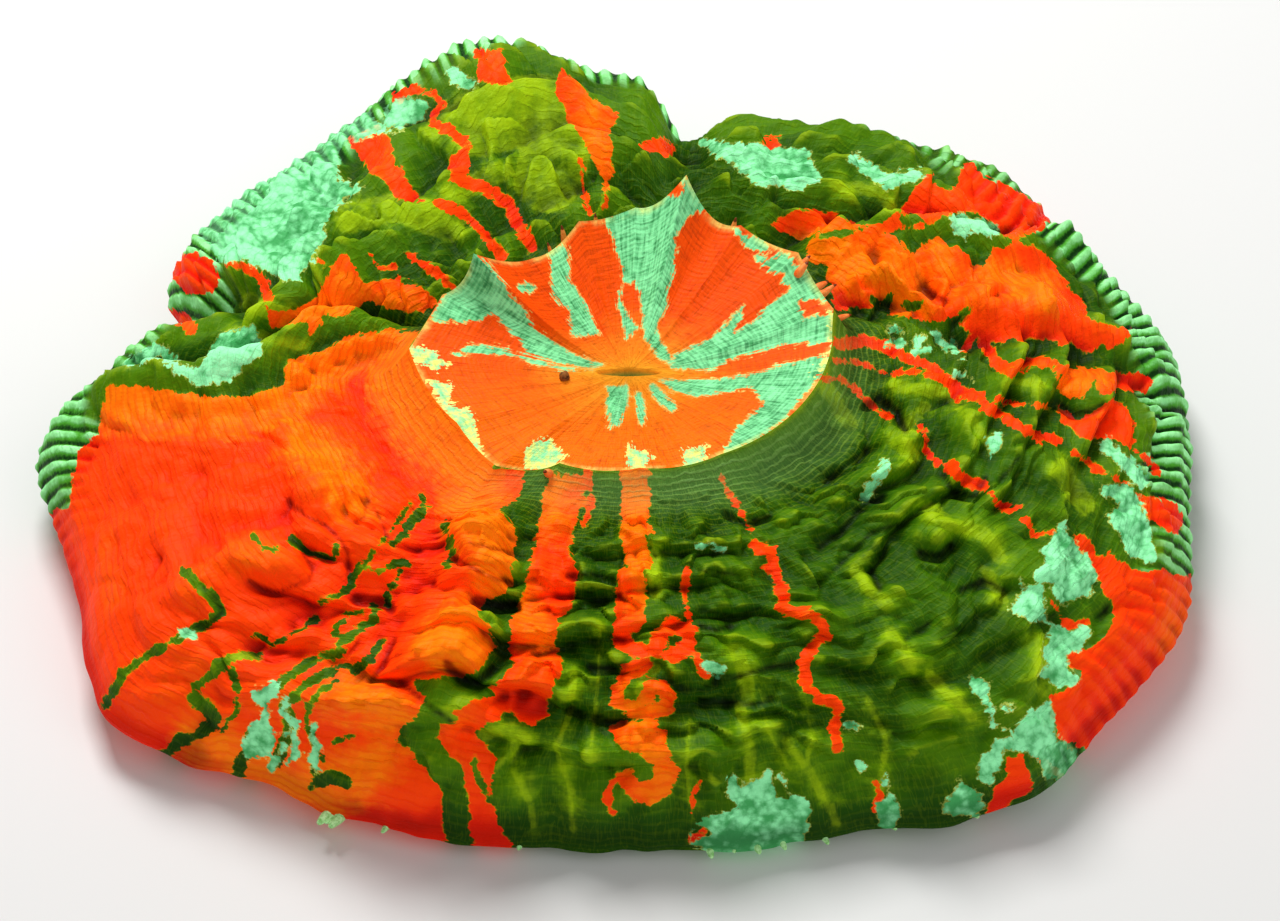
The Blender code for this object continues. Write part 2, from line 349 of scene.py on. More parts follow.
    def fine_relief(self, angles: np.ndarray, out: np.ndarray) -> np.ndarray:
        """The fine terraces, lobes and wrinkles of the mantle.

        Args:
            angles: Angles round the mouth, in degrees.
            out: Shares of the way from rim to margin.

        Returns:
            The height added at each place.
        """
        wander = ring_noise(angles, out, 24.0, 3.5, 11.9) * 1.6
        wander += ring_noise(angles, out, 84.0, 9.0, 1.7) * 0.6
        share = (out * self.terraces_out + wander) % 1.0
        rise = np.clip(share / (1 - self.terrace_drop), 0.0, 1.0) ** 0.8
        drop = np.clip((1 - share) / self.terrace_drop, 0.0, 1.0)
        breaks = np.clip(0.5 + 2.2 * ring_noise(angles, out, 46.0, 9.0, 4.4), 0.0, 1.0)
        terrace = rise * drop * (2 - drop) * breaks
        lobes = np.sqrt(np.abs(ring_noise(angles, out, 30.0, 6.0, 17.0)) + 0.01)
        folded = angles + 3.0 * ring_noise(angles, out, 50.0, 9.0, 53.0)
        ruffles = np.sqrt(np.abs(ring_noise(folded, out, 84.0, 17.0, 29.0)) + 0.01)
        wrinkle = ring_noise(angles, out, 190.0, 42.0, 23.0)
        soft = self.softness(angles)
        height = self.terrace_height * terrace * (1 - 0.6 * soft)
        height += self.lobe_height * (lobes * (0.12 + 0.7 * soft) + 0.75 * ruffles)
        height += self.wrinkle_height * wrinkle
        return height * ramp(out, 0.05, 0.2) * ramp(out, 1.0, 0.9)

    def drapes(self, angles: np.ndarray, station: np.ndarray) -> np.ndarray:
        """How far the upright drapes of the wall stand out where it has no ribs.

        Args:
            angles: Angles round the mouth, in degrees.
            station: Stations on the mantle.

        Returns:
            The distance added at each place.
        """
        wide = ring_noise(angles, station, 44.0, 3.0, 71.0)
        narrow = ring_noise(angles, station, 110.0, 5.0, 73.0)
        across = ring_noise(angles, station, 26.0, 16.0, 79.0)
        fade = ramp(station, 1.6, 1.8) * ramp(station, 2.6, 2.3)
        return self.drape_depth * (wide + 0.5 * narrow + 0.6 * across) * fade

    def softness(self, angles: np.ndarray) -> np.ndarray:
        """How soft and lobed the mantle is.

        Args:
            angles: Angles round the mouth, in degrees.

        Returns:
            1 over the left front, less at the right side, and 0 elsewhere.
        """
        left = np.exp(-((((angles + 150 + 180) % 360 - 180) / 38.0) ** 4))
        right = np.exp(-((((angles + 5 + 180) % 360 - 180) / 40.0) ** 4))
        return left + 0.7 * right

    def calm(self, angles: np.ndarray) -> np.ndarray:
        """1 over the flat field at the left of the mantle, falling to 0 away from it."""
        return np.exp(-((((angles + 168 + 180) % 360 - 180) / 25.0) ** 4))

    def rib_pattern(self, angles: np.ndarray, station: np.ndarray) -> tuple[np.ndarray, np.ndarray]:
        """The ribs across the margin.

        Args:
            angles: Angles round the mouth, in degrees.
            station: Stations on the mantle.

        Returns:
            How near each place is to the top of a rib, from 0 to 1, and how strongly ribbed it is.
        """
        sway = ring_noise(angles, station * 0.6, 60.0, 3.0, 31.0) * 2.4
        swept = np.clip(station - self.band_start, -0.15, 0.13) * self.rib_sweep * np.cos(np.radians(angles))
        wave = 0.5 + 0.5 * np.cos(np.radians(angles - swept) * self.ribs + sway)
        wave *= 0.85 + 0.6 * ring_noise(angles, station * 0.0, 88.0, 1.0, 41.0)
        wave *= 0.92 + 0.7 * ring_noise(angles, station, 150.0, 24.0, 43.0)
        ragged = 0.05 * ring_noise(angles, station, 70.0, 6.0, 37.0)
        start = round_curve(angles, self.rib_starts) + ragged
        band = ramp(station, start, start + 0.035) * ramp(station, 2.35, 2.1)
        return wave.clip(0.0, 1.0), band * self.ribbed(angles)

    def ribbed(self, angles: np.ndarray) -> np.ndarray:
        """How strongly the margin is ribbed, from 0 to 1."""
        return round_curve(angles, self.rib_strengths).clip(0.0, 1.0)

    def mantle(self, angles: np.ndarray, station: np.ndarray) -> tuple[np.ndarray, np.ndarray]:
        """The mantle, from the rim over the margin to the foot.

        Args:
            angles: Angles round the mouth, in degrees.
            station: Stations from 1 to 2.6.

        Returns:
            Distance from the mouth and height over the floor.
        """
        rim_distance, rim_height = self.disc_rim(angles)
        margin = round_curve(angles, self.outline)
        rows = np.array(self.profile)
        stations = np.concatenate([[1.0], rows[:, 0]])
        share = smooth_curve(station, stations, np.concatenate([[0.0], rows[:, 1]]))
        facing = np.sin(np.radians(angles))
        front = np.clip(-facing, 0.0, 1.0) ** 1.5
        back = np.clip(facing, 0.0, 1.0) ** 1.5
        below_rim = np.concatenate([[1.0], np.zeros(len(rows))])
        height = rim_height * smooth_curve(station, stations, below_rim)
        for weight, column in ((front, 2), (1 - front - back, 3), (back, 4)):
            height += weight * smooth_curve(station, stations, np.concatenate([[0.0], rows[:, column]]))
        distance = rim_distance + (margin - rim_distance) * share
        out = np.clip(station - 1, 0.0, 1.0)
        calm = self.calm(angles)
        fold = self.broad_folds(angles, out) * (1 - 0.6 * calm)
        fine = self.fine_relief(angles, out) * (1 - 0.3 * calm)
        rib, band = self.rib_pattern(angles, station)
        for furrow in self.furrows:
            height += furrow.height(angles, distance, out)
        for angle, away, half_width, rise in self.swellings:
            gap = distance**2 + away**2 - 2 * distance * away * np.cos(np.radians(angles - angle))
            height += rise * np.exp(-gap / half_width**2)
        lean = np.clip(out * 1.4, 0.0, 1.0)
        raised = self.rib_height * (rib - 0.5) * band
        level = ramp(station, 2.2, 1.95)
        drape = self.drapes(angles, station) * (1 - self.ribbed(angles))
        height += fold + fine + raised * level
        distance += fold * self.fold_lean * lean + fine * 0.8 * lean + raised * (1.2 - level) + drape
        return distance, np.maximum(height, 0.0)

    def place(self, angles: np.ndarray, distance: np.ndarray, height: np.ndarray) -> np.ndarray:
        """World places from places round the mouth.

        Args:
            angles: Angles round the mouth, in degrees.
            distance: Distances from the mouth.
            height: Heights over the floor.

        Returns:
            The places, one row each.
        """
        turn = np.radians(angles)
        east = self.mouth[0] + distance * np.cos(turn)
        north = self.mouth[1] + distance * np.sin(turn)
        return np.stack([east, north, height], axis=1)


@dataclass(frozen=True)
class PhotoCamera:
    """The camera of the photograph, looking down at the polyp from the front."""

    elevation: float = 48.0
    lens: float = 85.0
    sensor: float = 36.0
    width: int = 1280
    height: int = 921
    mouth_pixel: Pixel = (629.0, 376.0)
    pixel_size: float = 0.1134

    def axes(self) -> tuple[np.ndarray, np.ndarray, np.ndarray]:
        """The camera's own directions.

        Returns:
            Unit vectors to the right, up in the picture, and ahead.
        """
        tilt = math.radians(self.elevation)
        right = np.array((1.0, 0.0, 0.0))
        up = np.array((0.0, math.sin(tilt), math.cos(tilt)))
        ahead = np.array((0.0, math.cos(tilt), -math.sin(tilt)))
        return right, up, ahead

    def focal_pixels(self) -> float:
        """The focal length in pixels of the photograph."""
        return self.lens / self.sensor * self.width

    def eye(self, mouth: Sequence[float]) -> np.ndarray:
        """Where the camera stands so that the mouth falls on its pixel.

        Args:
            mouth: The mouth's place.

        Returns:
            The camera's place.
        """
        right, up, ahead = self.axes()
        focal = self.focal_pixels()
        across = (self.mouth_pixel[0] - self.width / 2) / focal
        above = (self.height / 2 - self.mouth_pixel[1]) / focal
        return np.asarray(mouth) - self.pixel_size * focal * (ahead + across * right + above * up)

    def pixels(self, places: np.ndarray, mouth: Sequence[float]) -> np.ndarray:
        """Pixels of the photograph that show the given places.

        Args:
            places: World places on the last axis.
            mouth: The mouth's place.

        Returns:
            Pixels across and down, on the last axis.
        """
        right, up, ahead = self.axes()
        away = places - self.eye(mouth)
        scale = self.focal_pixels() / (away @ ahead)
        return np.stack([self.width / 2 + away @ right * scale, self.height / 2 - away @ up * scale], axis=-1)

    def seen(self, places: np.ndarray, mouth: Sequence[float]) -> np.ndarray:
        """Pixels of the photograph for a grid of places, where hidden ones take the last seen before them.

        Args:
            places: Places by ring and meridian from the disc's rim outwards, in millimetres.
            mouth: Place of the mouth, in millimetres.

        Returns:
            Pixels by ring and meridian.
        """
        pixels = self.pixels(places, mouth)
        away = pixels - np.asarray(self.mouth_pixel)
        furthest_ring = np.hypot(away[..., 0], away[..., 1]).argmax(axis=0)
        heading = away[furthest_ring, np.arange(places.shape[1])]
        heading = heading / np.hypot(heading[:, 0], heading[:, 1])[:, None]
        along_heading = np.sum(away * heading[None], axis=2)
        furthest = np.maximum.accumulate(along_heading, axis=0)
        return pixels + (furthest - along_heading)[..., None] * heading[None]

    def set_up(self, mouth: Sequence[float]) -> bpy.types.Object:
        """Makes the scene's camera.

        Args:
            mouth: The mouth's place, in millimetres.

        Returns:
            The camera object.
        """
        data = bpy.data.cameras.new("photo_camera")
        data.lens = self.lens
        data.sensor_width = self.sensor
        data.clip_start = 0.01
        camera = bpy.data.objects.new("photo_camera", data)
        camera.location = Vector(self.eye(mouth)) * MM
        camera.rotation_euler = (math.radians(90 - self.elevation), 0.0, 0.0)
        bpy.context.scene.collection.objects.link(camera)
        bpy.context.scene.camera = camera
        return camera


@dataclass(frozen=True)
class Patch:
    """A marking with a closed outline, in pixels of the photograph."""

    outline: tuple[Pixel, ...]

    def depth(self, at: np.ndarray) -> np.ndarray:
        """How far inside the outline each pixel is, less than 0 outside it.

        Args:
            at: Pixels, one row each.

        Returns:
            The depth in pixels.
        """
        inside = np.zeros(len(at), bool)
        nearest = np.full(len(at), np.inf)
        for start, end in zip(self.outline, self.outline[1:] + self.outline[:1]):
            nearest = np.minimum(nearest, segment_distance(at, start, end))
            if start[1] != end[1]:
                spans = (at[:, 1] < start[1]) != (at[:, 1] < end[1])
                cross = start[0] + (at[:, 1] - start[1]) * (end[0] - start[0]) / (end[1] - start[1])
                inside ^= spans & (at[:, 0] < cross)
        return np.where(inside, nearest, -nearest)


@dataclass(frozen=True)
class Strand:
    """A narrow marking along a line, in pixels of the photograph."""

    path: tuple[Pixel, ...]
    half_width: float

    def depth(self, at: np.ndarray) -> np.ndarray:
        """How far inside the strand each pixel is, less than 0 outside it.

        Args:
            at: Pixels, one row each.

        Returns:
            The depth in pixels.
        """
        nearest = np.full(len(at), np.inf)
        for start, end in zip(self.path, self.path[1:]):
            nearest = np.minimum(nearest, segment_distance(at, start, end))
        return self.half_width - nearest


def segment_distance(at: np.ndarray, start: Pixel, end: Pixel) -> np.ndarray:
    """Distance of pixels from a straight segment.

    Args:
        at: Pixels, one row each.
        start: One end of the segment.
        end: The other end.

    Returns:
        The distance of each pixel.
    """
    run = np.subtract(end, start)
    away = at - np.asarray(start)
    share = np.clip(away @ run / max(float(run @ run), 1e-9), 0.0, 1.0)
    return np.hypot(*(away - share[:, None] * run).T)


def patches(*outlines: tuple[Pixel, ...]) -> tuple[Patch, ...]:
    """Patches with the given outlines."""
    return tuple(Patch(outline) for outline in outlines)


def strands(*rows: tuple) -> tuple[Strand, ...]:
    """Strands from rows of a half width and the points of a path."""
    return tuple(Strand(tuple(path), half_width) for half_width, *path in rows)


@dataclass(frozen=True)
class Marking:
    """All the patches and strands of one colour, less what is cut out of them."""

    shapes: tuple[Patch | Strand, ...]
    cuts: tuple[Patch | Strand, ...] = ()
    reach: float = 36.0

    def depth(self, at: np.ndarray) -> np.ndarray:
        """How far inside the marking each pixel is, less than 0 outside it.

        Args:
            at: Pixels, one row each.

        Returns:
            The depth in pixels, held to the marking's reach.
        """
        total = np.full(len(at), -self.reach)
        for shape in self.shapes:
            total = np.maximum(total, self._near(shape, at))
        for cut in self.cuts:
            total = np.minimum(total, -self._near(cut, at))
        return np.clip(total, -self.reach, self.reach)

    def _near(self, shape: Patch | Strand, at: np.ndarray) -> np.ndarray:
        """Depth in one shape, worked out only within reach of it.

        Args:
            shape: The patch or strand.
            at: Pixels, one row each.

        Returns:
            The depth of each pixel.
        """
        points = np.array(shape.outline if isinstance(shape, Patch) else shape.path)
        low, high = points.min(0) - self.reach, points.max(0) + self.reach
        close = np.all((at > low) & (at < high), axis=1)
        depth = np.full(len(at), -self.reach)
        depth[close] = shape.depth(at[close])
        return depth


# The colour fields of the flesh. A patch is an outline, and a strand a half width and its points.
ORANGE = Marking(
    shapes=patches(
        ((104, 384), (150, 388), (210, 396), (250, 394), (286, 385), (288, 360), (320, 352), (352, 335),
         (385, 330), (425, 333), (411, 345), (435, 380), (456, 418), (496, 466), (526, 472), (520, 495),
         (500, 512), (510, 522), (516, 542), (516, 553), (510, 570), (513, 587), (502, 595), (488, 598),
         (482, 609), (477, 615), (488, 626), (494, 646), (488, 654), (482, 665), (460, 679), (443, 676),
         (415, 678), (412, 682), (426, 699), (421, 710), (404, 721), (397, 741), (412, 755), (426, 766),
         (440, 791), (445, 828), (447, 860), (400, 860), (318, 840), (296, 815), (245, 800), (150, 780),
         (95, 750), (80, 700), (60, 640), (45, 560), (40, 518), (70, 505), (72, 478), (78, 455), (98, 430),
         (104, 400)),
        ((548, 475), (542, 504), (536, 536), (526, 587), (518, 606), (510, 622), (513, 663), (500, 680),
         (492, 688), (494, 695), (470, 702), (447, 710), (458, 720), (441, 725), (436, 738), (452, 757),
         (462, 762), (466, 790), (470, 835), (473, 860), (520, 858), (503, 832), (494, 806), (490, 790),
         (496, 770), (495, 755), (480, 738), (476, 732), (485, 724), (503, 722), (502, 712), (512, 710),
         (520, 722), (535, 725), (549, 715), (547, 699), (563, 672), (560, 655), (555, 640), (560, 620),
         (571, 606), (579, 574), (569, 548), (579, 517), (593, 475)),
        ((611, 726), (622, 722), (655, 722), (668, 732), (669, 752), (677, 770), (675, 785), (665, 800),
         (650, 805), (634, 802), (622, 790), (616, 784), (612, 795), (612, 808), (622, 820), (610, 816),
         (603, 800), (607, 785), (618, 772), (630, 771), (640, 781), (652, 778), (652, 765), (640, 752),
         (630, 752), (614, 742)),
        ((1073, 533), (1084, 535), (1095, 547), (1095, 555), (1111, 549), (1119, 560), (1140, 571),
         (1164, 571), (1197, 577), (1220, 590), (1215, 620), (1195, 650), (1180, 680), (1155, 705),
         (1135, 735), (1118, 755), (1100, 775), (1084, 747), (1057, 739), (1055, 723), (1049, 717),
         (1052, 704), (1047, 696), (1060, 691), (1081, 680), (1079, 669), (1068, 667), (1065, 651),
         (1087, 648), (1103, 637), (1116, 616), (1111, 600), (1103, 589), (1087, 568), (1076, 557)),
        ((1007, 757), (1023, 755), (1028, 771), (1033, 784), (1025, 795), (1012, 800), (1004, 812),
         (985, 820), (993, 787), (1007, 776)),
        ((1130, 488), (1142, 496), (1160, 498), (1178, 505), (1184, 520), (1178, 536), (1165, 532),
         (1150, 520), (1142, 508)),
        ((920, 181), (931, 173), (936, 186), (949, 192), (957, 184), (962, 168), (972, 160), (984, 176),
         (1000, 183), (1027, 195), (1045, 207), (1056, 216), (1035, 232), (1021, 237), (1003, 237),
         (997, 224), (984, 219), (971, 213), (949, 215), (928, 224), (920, 229), (888, 232), (867, 237),
         (861, 232), (888, 217), (901, 208), (907, 200)),
        ((808, 240), (840, 239), (861, 231), (888, 235), (901, 241), (915, 253), (925, 243), (941, 237),
         (949, 248), (957, 244), (968, 253), (973, 264), (984, 267), (987, 261), (992, 248), (1003, 248),
         (1019, 240), (1032, 245), (1048, 253), (1056, 267), (1067, 280), (1080, 299), (1088, 315),
         (1096, 323), (1128, 328), (1131, 333), (1123, 344), (1115, 349), (1101, 344), (1091, 355),
         (1077, 347), (1067, 344), (1061, 349), (1056, 341), (1040, 339), (1019, 341), (1011, 333),
         (1003, 344), (992, 341), (984, 339), (973, 331), (960, 325), (949, 320), (939, 320), (925, 320),
         (907, 317), (891, 315), (880, 307), (861, 309), (835, 309), (832, 288), (827, 267), (808, 261)),
        ((1056, 375), (1060, 392), (1067, 400), (1083, 397), (1091, 387), (1088, 375)),
        ((1096, 373), (1149, 380), (1144, 392), (1115, 389), (1109, 397), (1099, 395)),
        ((1056, 403), (1069, 413), (1080, 419), (1096, 411), (1112, 397), (1125, 405), (1133, 421),
         (1136, 443), (1125, 448), (1112, 440), (1096, 440), (1083, 437), (1064, 424), (1056, 413)),
        ((378, 126), (389, 137), (392, 148), (397, 164), (408, 183), (424, 201), (397, 199), (386, 183),
         (368, 169), (360, 156), (346, 140)),
        ((450, 158), (466, 150), (472, 166), (466, 182), (448, 182)),
        ((328, 271), (333, 258), (346, 250), (354, 266), (365, 282), (397, 276), (424, 290), (435, 300),
         (424, 314), (397, 311), (368, 300), (349, 317), (328, 314), (311, 333), (303, 319), (271, 327),
         (266, 306), (285, 314), (306, 303), (322, 292)),
        ((196, 252), (212, 260), (220, 276), (212, 293), (188, 294), (172, 279), (165, 260)),
        ((562, 68), (579, 86), (593, 100), (624, 114), (610, 128), (613, 167), (607, 187), (587, 148),
         (571, 125), (554, 89)),
        ((475, 50), (502, 50), (510, 81), (499, 84), (478, 81)),
        ((635, 145), (660, 137), (680, 148), (666, 156)),
        ((761, 138), (781, 138), (778, 159), (764, 156)),
        ((767, 226), (798, 210), (823, 210), (854, 224), (868, 226), (801, 238)),
    )
    + strands(
        (3.5, (588, 472), (591, 500), (584, 524)), (14, (634, 462), (636, 500), (634, 525)),
        (16, (636, 530), (640, 556)), (15, (632, 580), (630, 618)),
        (8, (622, 625), (622, 640), (635, 652), (655, 650), (660, 636), (672, 624), (688, 632),
         (690, 648), (672, 656)),
        (7.5, (645, 663), (628, 672), (618, 690), (618, 702), (632, 710), (650, 715), (666, 708),
         (670, 697), (663, 687), (650, 688), (646, 698)), (5, (693, 838), (704, 832)),
        (3, (687, 568), (684, 590), (689, 619)), (4, (697, 655), (705, 674)),
        (1.5, (700, 782), (692, 798), (692, 815)),
        (2.6, (720, 472), (727, 490), (738, 508), (744, 516), (750, 530)),
        (6.5, (755, 546), (770, 552), (774, 572), (783, 592), (784, 610)),
        (5.5, (784, 612), (807, 614), (822, 622), (826, 636), (812, 645), (804, 664), (806, 688),
         (820, 697), (838, 706), (834, 728), (838, 748)), (4, (876, 782), (880, 796), (874, 810)),
        (2.6, (1049, 597), (1056, 607), (1060, 615), (1068, 628), (1087, 622)),
        (3.5, (1033, 752), (1044, 763), (1055, 771), (1060, 776)),
        (2.8, (1025, 519), (1034, 536), (1054, 531), (1061, 545), (1074, 556)),
        (5.5, (837, 344), (861, 341), (888, 346), (904, 357), (920, 362), (936, 371), (949, 383),
         (968, 394), (981, 398), (986, 407), (1003, 416), (1013, 421), (1029, 432), (1045, 437), (1061, 440)),
        (3, (835, 360), (867, 365), (885, 373), (899, 373), (923, 371), (944, 381), (957, 400)),
        (5.5, (984, 344), (992, 357), (1003, 368), (1013, 373), (1021, 365), (1037, 360), (1053, 364),
         (1067, 373), (1096, 374), (1115, 378), (1147, 382)),
        (2.2, (997, 398), (1013, 404), (1032, 404), (1050, 407)),
        (3.6, (1075, 453), (1093, 467), (1112, 477), (1128, 485)),
        (3, (1126, 444), (1144, 457), (1152, 463), (1155, 473)),
        (3, (960, 352), (970, 343), (978, 330)),
        (2.8, (821, 379), (840, 379), (853, 387), (867, 400), (877, 411), (891, 416)),
        (3.2, (920, 427), (927, 440), (926, 450), (935, 462), (948, 464)),
        (6.5, (952, 468), (965, 480), (985, 486)), (3, (990, 490), (997, 503), (1008, 511), (1022, 506)),
        (5, (396, 98), (412, 90), (434, 94), (444, 104), (434, 114)),
        (5, (434, 122), (450, 131), (468, 141)),
        (6, (464, 182), (496, 192), (510, 206), (520, 226), (532, 246)),
        (5, (440, 202), (466, 216), (482, 230), (502, 257)),
        (3.8, (228, 263), (247, 266), (264, 280), (268, 296)), (3, (370, 255), (378, 268), (394, 266)),
        (3.5, (405, 254), (434, 270), (456, 289)), (2, (274, 226), (290, 247), (303, 244), (328, 268)),
        (6, (170, 314), (186, 320), (190, 328)), (3, (606, 170), (606, 205)),
        (2.5, (580, 160), (584, 190), (590, 214)),
    ),
    cuts=patches(
        ((899, 219), (912, 213), (925, 221), (907, 227)),
    )
    + strands(
        (4.5, (185, 572), (198, 586), (212, 598), (221, 612), (210, 622), (190, 632), (160, 648),
         (124, 672), (106, 705)), (2.8, (254, 535), (264, 548), (275, 550)),
        (3.6, (292, 539), (306, 550), (323, 556), (333, 559), (337, 547)),
        (4.2, (421, 497), (424, 507), (412, 522), (404, 534), (393, 543)),
        (2.2, (410, 504), (398, 520), (389, 534), (370, 556), (357, 574)),
        (3.8, (445, 525), (449, 539), (452, 550), (447, 564)),
        (3.2, (359, 564), (354, 577), (350, 586), (337, 598), (320, 601)),
        (3.4, (364, 567), (380, 571), (396, 564), (406, 563)),
        (3, (401, 570), (393, 587), (387, 596), (389, 606)),
        (4.8, (374, 606), (376, 620), (362, 628), (348, 637), (338, 645)),
        (2.4, (362, 611), (347, 616), (338, 624), (335, 634)),
        (4.8, (382, 642), (373, 655), (362, 665), (354, 669)), (4, (348, 651), (334, 654), (322, 656)),
        (4.2, (348, 665), (334, 669), (320, 676), (306, 685), (295, 696), (288, 704)),
        (2.6, (316, 618), (298, 632), (284, 638), (272, 646), (262, 638), (244, 639)),
        (5, (312, 661), (298, 670), (284, 679), (276, 688)),
        (5, (258, 655), (240, 654), (222, 662), (213, 674), (196, 686)),
        (6, (194, 697), (211, 710), (216, 721), (198, 735), (180, 740), (160, 760)),
        (3.2, (232, 672), (238, 690), (236, 712), (222, 730)),
        (3.4, (337, 682), (320, 690), (310, 704), (306, 722), (312, 738), (317, 752), (313, 770)),
        (6.5, (284, 704), (292, 722), (286, 740), (276, 762)),
        (2.8, (322, 762), (328, 748), (339, 739), (352, 738)), (6, (312, 786), (330, 776), (346, 784)),
        (6, (237, 776), (242, 760), (250, 744), (252, 730)),
        (3, (474, 758), (477, 777), (485, 791), (494, 802)), (3, (520, 520), (528, 556), (512, 610)),
        (6, (652, 540), (662, 566), (662, 600)), (4, (872, 300), (884, 306), (892, 297)),
        (2.8, (903, 304), (912, 308), (922, 303)), (3.6, (950, 321), (962, 318), (968, 308)),
    ),
)

MINT = Marking(
    shapes=patches(
        ((186, 216), (232, 166), (298, 112), (340, 86), (389, 132), (344, 143), (341, 156), (338, 180),
         (365, 188), (344, 204), (328, 215), (325, 236), (317, 258), (303, 271), (295, 284), (274, 274),
         (242, 260), (220, 263)),
        ((408, 97), (429, 100), (424, 121), (389, 132), (380, 110)),
        ((200, 368), (221, 332), (257, 325), (261, 354), (229, 382), (200, 386), (175, 368)),
        ((700, 140), (758, 145), (809, 152), (820, 182), (795, 190), (756, 182), (739, 170), (716, 156)),
        ((947, 219), (960, 213), (971, 221), (984, 216), (997, 229), (1000, 237), (987, 235), (971, 229),
         (963, 240), (955, 232)),
        ((984, 437), (1000, 433), (1004, 445), (990, 454)),
        ((1098, 478), (1112, 484), (1130, 482), (1140, 500), (1150, 530), (1155, 560), (1130, 556),
         (1120, 530), (1103, 515), (1118, 505), (1100, 495)),
        ((1061, 517), (1070, 534), (1080, 552), (1100, 573), (1093, 592), (1075, 600), (1065, 608),
         (1054, 596), (1048, 584), (1036, 580), (1044, 560), (1041, 545), (1050, 540)),
        ((1021, 577), (1023, 587), (1041, 581), (1048, 592), (1052, 597), (1044, 603), (1047, 613),
         (1052, 624), (1041, 621), (1023, 619), (1012, 613), (1015, 600), (1019, 589)),
        ((1052, 624), (1068, 632), (1087, 627), (1089, 632), (1079, 651), (1065, 651), (1068, 669),
         (1079, 675), (1076, 683), (1060, 688), (1049, 683), (1041, 675), (1047, 664), (1044, 651),
         (1049, 637)),
        ((969, 675), (980, 680), (993, 685), (991, 696), (991, 707), (985, 709), (977, 699), (972, 688)),
        ((1001, 707), (1015, 704), (1015, 712), (1004, 715)),
        ((1049, 699), (1055, 720), (1057, 739), (1076, 752), (1086, 770), (1068, 785), (1055, 781),
         (1047, 773), (1033, 755), (1017, 747), (1004, 752), (991, 787), (980, 779), (985, 755), (993, 741),
         (1012, 739), (1020, 720), (1033, 709)),
        ((959, 779), (975, 787), (985, 800), (978, 818), (945, 812), (940, 803), (953, 795)),
        ((734, 769), (737, 778), (740, 784), (758, 781), (769, 772), (772, 781), (778, 798), (802, 801),
         (811, 807), (808, 831), (800, 860), (723, 860), (693, 845), (690, 828), (708, 816), (731, 813),
         (737, 807), (725, 795), (728, 778)),
        ((251, 693), (272, 682), (279, 685), (270, 702), (271, 713), (267, 727), (275, 740), (270, 752),
         (258, 755), (247, 758), (243, 738), (256, 724), (261, 713), (256, 699)),
        ((876, 803), (893, 797), (899, 815), (892, 834), (878, 828)),
    )
    + strands(
        (5, (130, 362), (160, 350), (178, 368)), (6, (452, 76), (470, 84)),
        (6, (854, 160), (888, 182), (918, 174)), (2.4, (890, 329), (908, 330)),
        (2.4, (891, 343), (908, 341), (922, 338)), (3, (914, 352), (930, 349)),
        (3, (935, 334), (946, 346)), (3, (952, 344), (961, 358)), (2.6, (957, 372), (971, 377)),
        (8, (1108, 446), (1126, 462), (1142, 480)), (2.6, (991, 712), (993, 725), (1004, 728)),
        (2.6, (781, 780), (788, 790), (796, 802)),
        (2.8, (288, 699), (282, 711), (292, 722), (286, 738), (281, 752), (271, 769)),
        (2.4, (296, 724), (293, 738), (296, 752), (287, 764)),
        (2.6, (314, 726), (313, 738), (317, 749), (314, 766), (318, 772)), (4.5, (184, 633), (190, 634)),
        (4.6, (885, 464), (874, 484), (862, 497)), (4.5, (709, 664), (720, 670)),
        (5, (849, 725), (857, 727)), (4.4, (858, 764), (862, 766)), (4, (884, 780), (886, 784)),
        (2.5, (700, 546), (722, 549)),
    ),
    cuts=patches(
        ((1073, 603), (1097, 600), (1111, 595), (1112, 611), (1103, 637), (1095, 632), (1089, 621),
         (1079, 619)),
    )
    + strands(
        (2.6, (1049, 597), (1056, 607), (1060, 615), (1068, 628), (1087, 622)),
        (5, (693, 838), (704, 832)),
    ),
)

OLIVE = Marking(
    shapes=strands(
        (9, (737, 649), (745, 675), (749, 699)), (7, (740, 707), (746, 728), (751, 751), (750, 778)),
        (3, (760, 690), (768, 730), (790, 770)), (3, (806, 700), (812, 740), (800, 780)),
        (3, (600, 620), (598, 680), (590, 760)), (3, (690, 720), (686, 770), (694, 820)),
        (5.5, (516, 731), (514, 770), (529, 801), (535, 826)),
        (5, (573, 674), (572, 710), (556, 748), (570, 790), (572, 831)),
        (6, (786, 740), (812, 776), (836, 822)), (5, (868, 700), (886, 740), (880, 790)),
        (8, (484, 734), (510, 728), (524, 738)), (9, (654, 556), (656, 590)),
        (7, (655, 668), (640, 690)), (8, (896, 385), (950, 393)),
        (6, (952, 400), (975, 425), (990, 445)), (6, (1010, 380), (1042, 384)),
        (12, (1060, 470), (1085, 505)), (9, (930, 510), (950, 524), (985, 534), (1000, 556)),
        (7, (985, 570), (1002, 600)), (8, (856, 570), (870, 590), (886, 604)),
        (8, (890, 632), (905, 650), (912, 668)), (7, (930, 675), (950, 695), (972, 716)),
        (9, (1040, 640), (1044, 690)), (9, (825, 385), (850, 425)), (10, (895, 440), (912, 455)),
        (7, (925, 405), (905, 430)), (36, (480, 122), (535, 108), (556, 150), (548, 178)),
        (13, (450, 196), (500, 172)), (17, (350, 218), (400, 206), (450, 226)),
        (9, (430, 132), (470, 100)), (11, (250, 302), (290, 318)), (7, (236, 330), (300, 346)),
        (8, (836, 186), (880, 192), (890, 206)), (8, (236, 656), (261, 664)),
    ),
)

